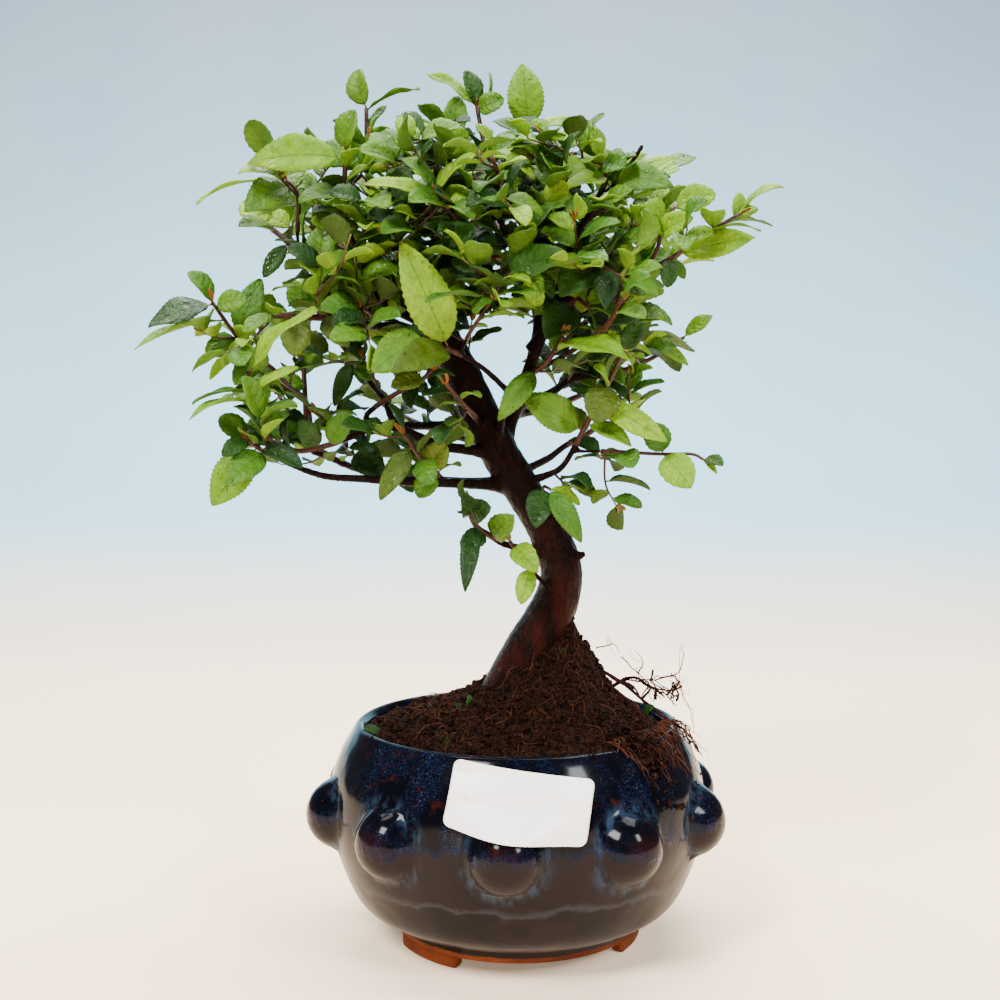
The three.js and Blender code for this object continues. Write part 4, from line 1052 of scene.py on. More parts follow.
     (-90, 22, 276)),
     ()),
    Branch("back_top", (1.8, 0.8), 0.28, 5, (12, 17), 2, ((4, 12, 258), (-5, 24, 269), (-11, 38, 282),
     (-15, 48, 296)),
     ()),
    Branch("back_top_right", (2.0, 0.9), 0.3, 5, (12, 17), 2, ((6, 7, 243), (17, 22, 253), (28, 36, 265),
     (37, 46, 279)),
     ()),
    Branch("back_right", (2.0, 0.9), 0.4, 5, (11, 15), 2, ((8, 3, 231), (22, 14, 236), (38, 25, 243),
     (52, 34, 251), (64, 40, 260)),
     ()),
    Branch("front_low", (1.8, 0.8), 0.4, 4, (10, 13), 0, ((-12, -3, 192), (-15, -16, 195), (-19, -32, 199),
     (-25, -46, 206)),
     ()),
    Branch("front_right", (1.6, 0.8), 0.42, 4, (11, 15), 1, ((4, 3, 212), (11, -9, 215), (21, -26, 220),
     (30, -42, 226), (35, -54, 234)),
     ()),
    Branch("front_top", (1.5, 0.8), 0.38, 5, (12, 17), 1, ((6, 9, 247), (5, -8, 256), (1, -26, 264),
     (-5, -42, 272), (-9, -54, 281)),
     ()),
    Branch("crown_back_mid", (1.5, 0.8), 0.28, 5, (12, 17), 1, ((-40, 4, 262), (-36, 18, 272), (-33, 26, 284),
     (-30, 30, 298)),
     ()),
    Branch("right_top_back", (1.4, 0.8), 0.25, 5, (12, 17), 1, ((25, -16, 268), (36, -8, 276), (47, 2, 283),
     (58, 12, 291)),
     ()),
    Branch("right_far_back", (1.4, 0.8), 0.25, 5, (11, 15), 1, ((22, 21, 212), (38, 27, 214), (54, 31, 220),
     (68, 33, 229)),
     ()),
)


# Finishes


@dataclass(frozen=True)
class Graph:
    """A node tree that is being drawn up.

    Attributes:
        tree: The tree of a material or of a shared group.
    """

    tree: NodeTree

    def node(self, kind: str, inputs: Inputs, **settings: str | bool | int) -> bpy.types.Node:
        """Adds a node.

        Args:
            kind: The node's type, without the ShaderNode that it starts with.
            inputs: A socket or a plain value for each input that isn't left as it is.
            **settings: The node's own options.

        Returns:
            The node.
        """
        made = self.tree.nodes.new("ShaderNode" + kind)
        for name, setting in settings.items():
            setattr(made, name, setting)
        for name, value in inputs.items():
            self.put(made.inputs[name], value)
        return made

    def put(self, target: Socket, value: Value | Colour) -> None:
        """Links a socket to an input, or sets a plain value on it."""
        if isinstance(value, bpy.types.NodeSocket):
            self.tree.links.new(value, target)
        elif isinstance(value, tuple) and target.type == "RGBA":
            target.default_value = (*value, 1.0)
        else:
            target.default_value = value

    def math(self, operation: str, first: Value, second: Value = 0.0) -> Socket:
        """A simple working with one or two values."""
        return self.node("Math", {0: first, 1: second}, operation=operation).outputs[0]

    def times(self, first: Value, second: Value) -> Socket:
        """The product of two values."""
        return self.math("MULTIPLY", first, second)

    def plus(self, first: Value, second: Value) -> Socket:
        """The sum of two values."""
        return self.math("ADD", first, second)

    def minus(self, first: Value, second: Value) -> Socket:
        """The first value less the second."""
        return self.math("SUBTRACT", first, second)

    def swing(self, value: Value, span: float) -> Socket:
        """A value about 0.5, spread over a span about 0."""
        return self.times(self.minus(value, 0.5), span)

    def smooth(self, value: Value, low: Value, high: Value, start: Value = 0.0, end: Value = 1.0) -> Socket:
        """A value eased from start to end as the input runs from low to high."""
        inputs = {"Value": value, "From Min": low, "From Max": high, "To Min": start, "To Max": end}
        return self.node("MapRange", inputs, interpolation_type="SMOOTHSTEP").outputs[0]

    def band(self, value: Value, low: float, full: float, fading: float, high: float) -> Socket:
        """A mask that rises from low to full and falls again from fading to high."""
        return self.times(self.smooth(value, low, full), self.smooth(value, fading, high, 1.0, 0.0))

    def mix(self, share: Value, first: Value | Colour, second: Value | Colour, blend: str = "MIX") -> Socket:
        """A colour between two colours."""
        inputs = {0: share, 6: first, 7: second}
        return self.node("Mix", inputs, data_type="RGBA", blend_type=blend).outputs[2]

    def over(self, colour: Value | Colour, tone: Value | Colour, mask: Value, strength: Value) -> Socket:
        """A colour with a tone laid over it where a mask and its strength say."""
        return self.mix(self.times(mask, strength), colour, tone)

    def noise(self, place: Socket, scale: float, detail: float = 3.0, rough: float = 0.55) -> Socket:
        """Cloudy noise about 0.5."""
        inputs = {"Vector": place, "Scale": scale, "Detail": detail, "Roughness": rough}
        return self.node("TexNoise", inputs).outputs[0]

    def cells(self, place: Socket, scale: Value) -> bpy.types.Node:
        """Cells round scattered points, with the distance and a colour for each."""
        return self.node("TexVoronoi", {"Vector": place, "Scale": scale})

    def flecks(self, place: Socket, scale: float, density: float, size: float) -> Socket:
        """A mask of small scattered spots, shared by the glaze, the bark and the leaves."""
        inputs = {"Place": place, "Scale": scale, "Density": density, "Size": size}
        return self.group(fleck_group(), inputs).outputs["Mask"]

    def bump(self, height: Socket, depth: float) -> Socket:
        """The normal of a relief of this depth in metres."""
        return self.node("Bump", {"Height": height, "Distance": depth, "Strength": 1.0}).outputs[0]

    def parts(self, vector: Socket) -> list[Socket]:
        """The three parts of a vector."""
        return list(self.node("SeparateXYZ", {0: vector}).outputs)

    def scaled(self, place: Socket, factors: Point) -> Socket:
        """A place stretched along its axes."""
        return self.node("VectorMath", {0: place, 1: factors}, operation="MULTIPLY").outputs[0]

    def group(self, shared: NodeTree, inputs: Inputs) -> bpy.types.Node:
        """Adds a shared group of nodes."""
        made = self.node("Group", {}, node_tree=shared)
        for name, value in inputs.items():
            self.put(made.inputs[name], value)
        return made

    def on_map(self) -> list[Socket]:
        """The parts of the place on the map that leaves and twigs have."""
        return self.parts(self.node("UVMap", {}, uv_map=Crown.MAP).outputs[0])

    def millimetres(self) -> Socket:
        """The place on the piece in millimetres about the pot's axis."""
        place = self.node("TexCoord", {}).outputs["Object"]
        inputs = {0: place, 1: (1 / MM, 1 / MM, 1 / MM), 2: (-POT_AXIS_X, 0.0, 0.0)}
        return self.node("VectorMath", inputs, operation="MULTIPLY_ADD").outputs[0]

    def principled(
        self, colour: Socket, rough: Value, level: float = 0.5, normal: Socket | None = None, glow: float = 0
    ) -> Socket:
        """The main shader.

        Args:
            colour: The base colour, which is also the colour of its glow.
            rough: The roughness.
            level: How strongly it mirrors.
            normal: The normal of its relief, if it has one.
            glow: How strongly it gives off light.

        Returns:
            The shader's socket.
        """
        inputs = {"Base Color": colour, "Roughness": rough, "Specular IOR Level": level}
        if normal is not None:
            inputs["Normal"] = normal
        if glow:
            inputs |= {"Emission Color": colour, "Emission Strength": glow}
        return self.node("BsdfPrincipled", inputs).outputs[0]


def shared_group(
    name: str, inputs: dict[str, str], outputs: Sequence[str],
    drawn: Callable[[Graph, list[Socket]], list[Socket]],
) -> NodeTree:
    """A group of nodes that materials share, built once.

    Args:
        name: What the group is called.
        inputs: The socket type for each named input.
        outputs: The names of the values that it puts out.
        drawn: Draws the group from its inputs and returns its outputs.

    Returns:
        The group's tree.
    """
    if name in bpy.data.node_groups:
        return bpy.data.node_groups[name]
    tree = bpy.data.node_groups.new(name, "ShaderNodeTree")
    for label, kind in inputs.items():
        tree.interface.new_socket(name=label, in_out="INPUT", socket_type=kind)
    for label in outputs:
        tree.interface.new_socket(name=label, in_out="OUTPUT", socket_type="NodeSocketFloat")
    graph = Graph(tree)
    given, result = tree.nodes.new("NodeGroupInput"), tree.nodes.new("NodeGroupOutput")
    for label, value in zip(outputs, drawn(graph, [given.outputs[each] for each in inputs])):
        graph.put(result.inputs[label], value)
    return tree


def fleck_group() -> NodeTree:
    """Scattered spots: the density says how many there are, and the size how large they are."""

    def drawn(graph: Graph, given: list[Socket]) -> list[Socket]:
        """Keeps some of the cells and draws a soft spot in each."""
        place, scale, density, size = given
        cells = graph.cells(place, scale)
        luck = graph.parts(cells.outputs["Color"])
        reach = graph.times(size, graph.plus(luck[1], 0.35))
        spot = graph.smooth(cells.outputs["Distance"], graph.times(reach, 0.55), reach, 1.0, 0.0)
        return [graph.times(spot, graph.math("LESS_THAN", luck[0], density))]

    inputs = {"Place": "NodeSocketVector"} | dict.fromkeys(("Scale", "Density", "Size"), "NodeSocketFloat")
    return shared_group("scattered flecks", inputs, ["Mask"], drawn)


def vein_group() -> NodeTree:
    """The midrib and the side veins of a leaf, and the swell of the blade between them."""

    def drawn(graph: Graph, given: list[Socket]) -> list[Socket]:
        """Veins that sweep towards the tip, finer and fainter at the edge."""
        across, along = given
        beside = graph.math("ABSOLUTE", across)
        rib = graph.smooth(beside, 0.02, graph.smooth(along, 0.0, 1.0, 0.085, 0.045), 1.0, 0.0)
        sweep = graph.minus(along, graph.times(graph.math("POWER", beside, 1.35), 0.24))
        turns = graph.math("FRACT", graph.times(sweep, 5.6))
        saw = graph.math("ABSOLUTE", graph.minus(turns, 0.5))
        fading = graph.times(graph.smooth(beside, 0.55, 0.98, 1.0, 0.15), 0.6)
        side = graph.times(graph.smooth(saw, 0.0, 0.06, 1.0, 0.0), fading)
        return [graph.math("MAXIMUM", rib, side), graph.smooth(saw, 0.0, 0.5)]

    inputs = dict.fromkeys(("Across", "Along"), "NodeSocketFloat")
    return shared_group("leaf veins", inputs, ["Veins", "Swell"], drawn)


@dataclass(frozen=True)
class Finish:
    """A finish with its own node material."""

    name: str

    def material(self) -> Material:
        """Builds the material."""
        made = bpy.data.materials.new(self.name)
        made.use_nodes = True
        made.node_tree.nodes.clear()
        graph = Graph(made.node_tree)
        graph.node("OutputMaterial", {"Surface": self.surface(graph)})
        return made

    def surface(self, graph: Graph) -> Socket:
        """Draws the surface and returns its shader."""
        raise NotImplementedError


@dataclass(frozen=True)
class Glaze(Finish):
    """Dark blue glaze run down over satin grey, with bare clay at the foot.

    Attributes:
        border: The height where the blue glaze ends, in millimetres.
        foot: The height where the clay is bare.
        line: The height of the faint pale line on the grey.
    """

    name: str = "blue_glaze"
    border: float = 48.6
    foot: float = 6.4
    line: float = 29.0
    navy: Colour = (0.0012, 0.0013, 0.003)
    blue: Colour = (0.0065, 0.0135, 0.045)
    pale_blue: Colour = (0.032, 0.062, 0.115)
    rust: Colour = (0.019, 0.0045, 0.0024)
    grey: Colour = (0.0115, 0.0075, 0.0082)
    dark_grey: Colour = (0.006, 0.0044, 0.0054)
    pale_line: Colour = (0.09, 0.1, 0.13)
    speck: Colour = (0.011, 0.008, 0.008)
    clay: Colour = (0.19, 0.047, 0.017)
    dark_clay: Colour = (0.1, 0.021, 0.008)

    def boss_distance(self, graph: Graph, place: Socket) -> tuple[Socket, Socket]:
        """The distance to the middle of the nearest boss, and the height above it."""
        across, depth, height = graph.parts(place)
        turn = graph.math("ARCTAN2", across, graph.times(depth, -1.0))
        spacing = 2 * math.pi / Pot.BOSS_COUNT
        steps = graph.math("DIVIDE", graph.minus(turn, math.radians(Pot.FIRST_BOSS_DEG)), spacing)
        beside = graph.math("FRACT", graph.plus(steps, 0.5))
        above = graph.minus(height, Pot.BOSS_HEIGHT)
        offset = graph.node("CombineXYZ", {0: graph.swing(beside, spacing * Pot.BOSS_RING), 1: above})
        span = graph.node("VectorMath", {0: offset.outputs[0]}, operation="LENGTH")
        return span.outputs["Value"], above

    def blue_part(self, graph: Graph, place: Socket, rim: Socket, halo: Socket, from_boss: Socket) -> Socket:
        """Navy and blue with rust, paler round the bosses and along the border.

        Args:
            graph: The material.
            place: The place on the pot.
            rim: A mask of the border.
            halo: A mask of the rings round the bosses.
            from_boss: The distance to the nearest boss.

        Returns:
            Its colour.
        """
        fine = graph.noise(place, 1.7, 4.0, 0.7)
        stretched = graph.scaled(place, (1.0, 1.0, 0.35))
        broad = graph.smooth(graph.noise(stretched, 0.1, 4.0, 0.6), 0.42, 0.66)
        colour = graph.over(self.navy, self.blue, graph.smooth(fine, 0.47, 0.68), broad)
        flecks = graph.flecks(place, 1.25, 0.3, 0.42)
        colour = graph.over(colour, self.pale_blue, flecks, graph.times(broad, 0.4))
        rusty = graph.smooth(graph.noise(place, 0.16, 5.0, 0.7), 0.56, 0.68)
        rusty = graph.math("MAXIMUM", rusty, graph.smooth(from_boss, 2.0, 9.0, 0.6, 0.0))
        colour = graph.over(colour, self.rust, rusty, graph.smooth(fine, 0.3, 0.55))
        colour = graph.over(colour, self.pale_blue, halo, 0.35)
        return graph.over(colour, self.blue, rim, graph.smooth(fine, 0.35, 0.6, 0.05, 0.45))

    def surface(self, graph: Graph) -> Socket:
        """Blue above a ragged border, grey below it, clay under the foot."""
        place = graph.millimetres()
        height = graph.parts(place)[2]
        from_boss, above_boss = self.boss_distance(graph, place)
        clouds = graph.noise(place, 0.055, 4.0)
        runs = graph.noise(graph.scaled(place, (1.0, 1.0, 0.35)), 0.28, 5.0, 0.65)
        sagging = graph.smooth(from_boss, 8.0, 15.0, 0.5, 0.0)
        ragged = graph.plus(height, graph.swing(runs, 13.0))
        edge = graph.plus(ragged, graph.plus(graph.swing(clouds, 12.0), sagging))
        glazed = graph.smooth(edge, self.border - 0.7, self.border + 0.9)
        rim = graph.band(edge, self.border - 4.0, self.border + 0.2, self.border + 0.6, self.border + 4.5)
        halo = graph.times(graph.band(from_boss, 10.5, 13.0, 13.5, 18.0), graph.smooth(runs, 0.42, 0.62))
        blue = self.blue_part(graph, place, rim, halo, from_boss)

        grey = graph.mix(graph.smooth(clouds, 0.35, 0.65), self.dark_grey, self.grey)
        grey = graph.over(grey, self.grey, graph.smooth(height, 9.0, 44.0), 0.5)
        grey = graph.over(grey, self.pale_blue, halo, graph.smooth(above_boss, -16.0, 2.0, 0.5, 0.15))
        line_edge = graph.plus(height, graph.swing(clouds, 14.0))
        line = graph.band(line_edge, self.line - 1.3, self.line, self.line, self.line + 2.6)
        grey = graph.over(grey, self.pale_line, line, 0.16)
        fine_specks = graph.times(graph.flecks(place, 0.9, 0.16, 0.24), 0.6)
        specks = graph.math("MAXIMUM", graph.flecks(place, 0.3, 0.3, 0.2), fine_specks)
        grey = graph.over(grey, self.speck, specks, 0.85)

        fired = graph.smooth(graph.plus(height, graph.swing(runs, 1.6)), self.foot - 0.4, self.foot + 0.5)
        clay = graph.mix(graph.smooth(clouds, 0.3, 0.7), self.clay, self.dark_clay)
        colour = graph.mix(fired, clay, graph.mix(glazed, grey, blue))
        satin = graph.smooth(glazed, 0.0, 1.0, 0.27, 0.12)
        rough = graph.plus(satin, graph.smooth(fired, 0.0, 1.0, 0.5, 0.0))
        relief = graph.plus(graph.noise(place, 0.08, 1.0), graph.times(glazed, 0.3))
        return graph.principled(colour, rough, 0.085, graph.bump(relief, 0.0004))


@dataclass(frozen=True)
class Earth(Finish):
    """Dark damp peat with fibres, lighter crumbs and a trace of moss."""

    name: str = "damp_soil"
    dark: Colour = (0.0026, 0.0011, 0.0007)
    brown: Colour = (0.027, 0.0085, 0.0038)
    fibre: Colour = (0.11, 0.038, 0.018)
    moss: Colour = (0.035, 0.06, 0.012)

    def surface(self, graph: Graph) -> Socket:
        """Clods of dark and brown with short fibres."""
        place = graph.millimetres()
        clods = graph.noise(place, 0.45, 5.0, 0.7)
        grains = graph.cells(place, 0.85)
        colour = graph.mix(graph.smooth(clods, 0.36, 0.64), self.dark, self.brown)
        luck = graph.parts(grains.outputs["Color"])
        colour = graph.mix(graph.smooth(luck[0], 0.55, 1.0, 0.0, 0.7), colour, self.brown)
        colour = graph.mix(graph.smooth(luck[1], 0.6, 1.0, 0.0, 0.75), colour, self.dark)
        strands = graph.noise(graph.scaled(place, (2.6, 0.4, 0.8)), 0.8, 3.0, 0.6)
        colour = graph.over(colour, self.fibre, graph.smooth(strands, 0.61, 0.67), 0.6)
        mossy = graph.smooth(graph.noise(place, 0.09, 4.0, 0.6), 0.62, 0.7)
        colour = graph.over(colour, self.moss, mossy, graph.smooth(clods, 0.45, 0.6, 0.0, 0.5))
        relief = graph.plus(clods, graph.times(grains.outputs["Distance"], 0.9))
        rough = graph.smooth(luck[2], 0.0, 1.0, 0.55, 0.95)
        return graph.principled(colour, rough, 0.05, graph.bump(relief, 0.0026))


@dataclass(frozen=True)
class Strand(Finish):
    """A thin root or fibre, darker in places."""

    name: str = "root_fibre"
    tone: Colour = (0.075, 0.023, 0.0085)
    dark: Colour = (0.02, 0.008, 0.004)

    def surface(self, graph: Graph) -> Socket:
        """The tone and its dark places."""
        share = graph.smooth(graph.noise(graph.millimetres(), 0.25, 2.0), 0.35, 0.65, 0.0, 0.65)
        return graph.principled(graph.mix(share, self.tone, self.dark), 0.62, 0.08)


@dataclass(frozen=True)
class Bark(Finish):
    """Smooth dark red-brown bark, damp, with orange-red flecks and a painted grey sheen in patches on its
    left-facing side.

    Attributes:
        red_height: The height in millimetres above which the red fades.
        fleck_scale: How close the flecks stand.
    """

    name: str = "bark"
    dark: Colour = (0.0015, 0.0006, 0.0005)
    brown: Colour = (0.006, 0.0014, 0.001)
    red: Colour = (0.024, 0.0027, 0.0011)
    fleck: Colour = (0.08, 0.02, 0.009)
    # The grey of the painted sheen on the wood's left-facing side.
    painted_sheen: Colour = (0.1, 0.09, 0.09)
    red_height: float = 175.0
    fleck_scale: float = 2.3

    def surface(self, graph: Graph) -> Socket:
        """Bands of brown and red, flecks, a painted grey sheen on the left-facing side, and ridges."""
        place = graph.millimetres()
        height = graph.parts(place)[2]
        along = graph.scaled(place, (1.0, 1.0, 0.3))
        fine = graph.noise(along, 0.75, 5.0, 0.7)
        colour = graph.mix(graph.smooth(fine, 0.34, 0.66), self.dark, self.brown)
        broad = graph.smooth(graph.noise(along, 0.12, 4.0, 0.6), 0.42, 0.62)
        colour = graph.over(colour, self.red, broad, graph.smooth(height, self.red_height, 110.0, 0.12, 0.85))
        colour = graph.over(colour, self.fleck, graph.flecks(place, self.fleck_scale, 0.3, 0.45), 0.35)
        # Painted sheen: grey patches laid only where the skin faces left, towards the left window, stand for
        # its wet highlight.
        left = graph.parts(graph.node("NewGeometry", {}).outputs["Normal"])[0]
        sheen_patches = graph.smooth(graph.noise(place, 0.5, 6.0, 0.8), 0.5, 0.66)
        colour = graph.over(colour, self.painted_sheen, sheen_patches, graph.smooth(left, -0.95, -0.35, 0.4, 0.03))
        pores = graph.times(graph.noise(place, 1.5, 4.0, 0.75), 0.7)
        relief = graph.plus(pores, graph.times(graph.noise(along, 0.3, 4.0), 1.6))
        rough = graph.smooth(fine, 0.3, 0.7, 0.2, 0.42)
        return graph.principled(colour, rough, 0.05, graph.bump(relief, 0.0009))


@dataclass(frozen=True)
class TwigSkin(Finish):
    """Thin twigs: red-brown, greener towards the crown's edge."""

    name: str = "twig_skin"
    brown: Colour = (0.016, 0.0052, 0.0036)
    red: Colour = (0.055, 0.0155, 0.008)
    green: Colour = (0.12, 0.13, 0.03)

    def surface(self, graph: Graph) -> Socket:
        """The map's first part holds how young the wood is."""
        age = graph.on_map()[0]
        fine = graph.noise(graph.millimetres(), 0.7, 3.0, 0.6)
        colour = graph.mix(graph.smooth(fine, 0.35, 0.65), self.brown, self.red)
        colour = graph.mix(graph.smooth(age, 0.5, 0.9), colour, self.green)
        return graph.principled(colour, 0.45, 0.2, graph.bump(fine, 0.0004))


class Side(Enum):
    """The side of a leaf: how pale it is, how far its veins stand out and how it shines."""

    UPPER = (0.0, 1.0, 0.24)
    UNDER = (0.3, -0.8, 0.5)


@dataclass(frozen=True)
class LeafSkin(Finish):
    """A leaf with veins, a translucent blade and a shade of its own.

    The map's tile number across holds the tone, the one upward a shade of its own, and the place inside the
    tile runs across the leaf and from stalk to tip.

    Attributes:
        side: The upper side or the underside.
        shades: A shadow tone, a light tone and a vein tone for each age; the fifth is a bluish green, a
            painted sheen for glossy front leaves.
    """

    name: str = "leaf_upper"
    side: Side = Side.UPPER
    shades: tuple[tuple[Colour, Colour, Colour], ...] = (
        ((0.15, 0.33, 0.007), (0.3, 0.51, 0.016), (0.085, 0.2, 0.006)),
        ((0.05, 0.16, 0.007), (0.125, 0.28, 0.014), (0.09, 0.22, 0.014)),
        ((0.008, 0.038, 0.005), (0.029, 0.098, 0.01), (0.045, 0.12, 0.014)),
        ((0.055, 0.1, 0.005), (0.125, 0.19, 0.011), (0.12, 0.17, 0.014)),
        # Painted sheen: a bluish green for glossy front leaves.
        ((0.028, 0.11, 0.009), (0.07, 0.195, 0.02), (0.1, 0.23, 0.035)),
        ((0.34, 0.085, 0.022), (0.4, 0.22, 0.045), (0.3, 0.06, 0.015)),
    )
    pale: Colour = (0.14, 0.22, 0.025)
    mottle: Colour = (0.025, 0.06, 0.006)
    spot: Colour = (0.07, 0.045, 0.012)
    through: Colour = (0.3, 0.5, 0.02)

    def surface(self, graph: Graph) -> Socket:
        """Tone by tile, veins, and light through the blade."""
        paler, vein_height, rough = self.side.value
        across, upward, _ = graph.on_map()
        tone = graph.math("FLOOR", across)
        luck = graph.math("DIVIDE", graph.math("FLOOR", upward), Crown.LUCK_TILES)
        beside = graph.minus(graph.times(graph.math("FRACT", across), 2.0), 1.0)
        veins = graph.group(vein_group(), {"Across": beside, "Along": graph.math("FRACT", upward)}).outputs
        place = graph.millimetres()
        clouds = graph.smooth(graph.noise(place, 0.16, 3.0, 0.6), 0.3, 0.7, -0.15, 0.35)
        share = graph.smooth(graph.plus(graph.times(luck, 0.75), clouds), -0.1, 1.1)

        colour: Value | Colour = self.shades[0][0]
        for number, (shadow, light, vein) in enumerate(self.shades):
            lined = graph.over(graph.mix(share, shadow, light), vein, veins["Veins"], 0.42)
            here = graph.math("GREATER_THAN", tone, number - 0.5)
            colour = graph.mix(here, colour, lined) if number else lined
        if paler:
            colour = graph.mix(paler, colour, self.pale)
        mottled = graph.smooth(graph.noise(place, 0.6, 4.0, 0.65), 0.35, 0.65)
        colour = graph.over(colour, self.mottle, mottled, 0.22)
        colour = graph.over(colour, self.spot, graph.flecks(place, 0.5, 0.05, 0.25), 0.6)

        ribs = graph.times(veins["Veins"], -0.6 * vein_height)
        relief = graph.plus(graph.times(veins["Swell"], 0.3 * vein_height), ribs)
        relief = graph.plus(relief, graph.times(graph.cells(place, 1.25).outputs["Distance"], 0.4))
        relief = graph.plus(relief, graph.times(graph.noise(place, 0.32, 3.0), 2.2))
        drops = graph.flecks(place, 0.42, 0.2, 0.3)
        normal = graph.bump(graph.plus(relief, graph.times(drops, 1.6 if vein_height > 0 else 0.0)), 0.00034)
        films = graph.smooth(graph.noise(place, 0.13, 3.0, 0.6), 0.54, 0.62)
        wet = graph.minus(rough + 0.24, graph.times(graph.math("MAXIMUM", drops, films), 0.3))
        skin = graph.principled(colour, wet, 0.26, normal)
        through = graph.mix(0.55, colour, self.through, "OVERLAY")
        glow = graph.node("BsdfTranslucent", {"Color": through, "Normal": normal}).outputs[0]
        return graph.node("MixShader", {0: 0.4, 1: skin, 2: glow}).outputs[0]


@dataclass(frozen=True)
class Paper(Finish):
    """A white paper label with a faint sheen and a few flecks of soil over it."""

    name: str = "white_label"
    white: Colour = (0.94, 0.91, 0.91)
    stain: Colour = (0.62, 0.52, 0.44)
    dirt: Colour = (0.3, 0.17, 0.1)

    def surface(self, graph: Graph) -> Socket:
        """Smooth white with faint creases and stains."""
        place = graph.millimetres()
        stains = graph.smooth(graph.noise(place, 0.11, 4.0, 0.65), 0.6, 0.78, 0.0, 0.22)
        colour = graph.mix(stains, self.white, self.stain)
        colour = graph.over(colour, self.dirt, graph.flecks(place, 0.5, 0.05, 0.2), 0.5)
        creases = graph.noise(place, 0.1, 3.0, 0.5)
        rough = graph.smooth(creases, 0.35, 0.65, 0.3, 0.42)
        return graph.principled(colour, rough, normal=graph.bump(creases, 0.0012))


@dataclass(frozen=True)
class Backdrop(Finish):
    """The pale floor and the sweep behind it, cream below and pale blue above."""

    name: str = "pale_floor"
    cream: Colour = (1.0, 0.77, 0.54)
    middle: Colour = (0.3, 0.6, 0.78)
    blue: Colour = (0.17, 0.235, 0.33)
    white: Colour = (1.0, 1.0, 1.0)

    def surface(self, graph: Graph) -> Socket:
        """The colour changes with height, and a little with the distance behind the tree."""
        place = graph.millimetres()
        _, depth, height = graph.parts(place)
        behind = graph.plus(height, graph.times(depth, 0.12))
        colour = graph.mix(graph.smooth(behind, 15.0, 270.0), self.cream, self.middle)
        colour = graph.mix(graph.smooth(height, 120.0, 950.0), colour, self.blue)
        soft = graph.smooth(graph.noise(place, 0.004, 2.0), 0.3, 0.7, 0.0, 0.03)
        return graph.principled(graph.mix(soft, colour, self.white), 0.9, 0.1, glow=0.3)


# Pot, soil and label


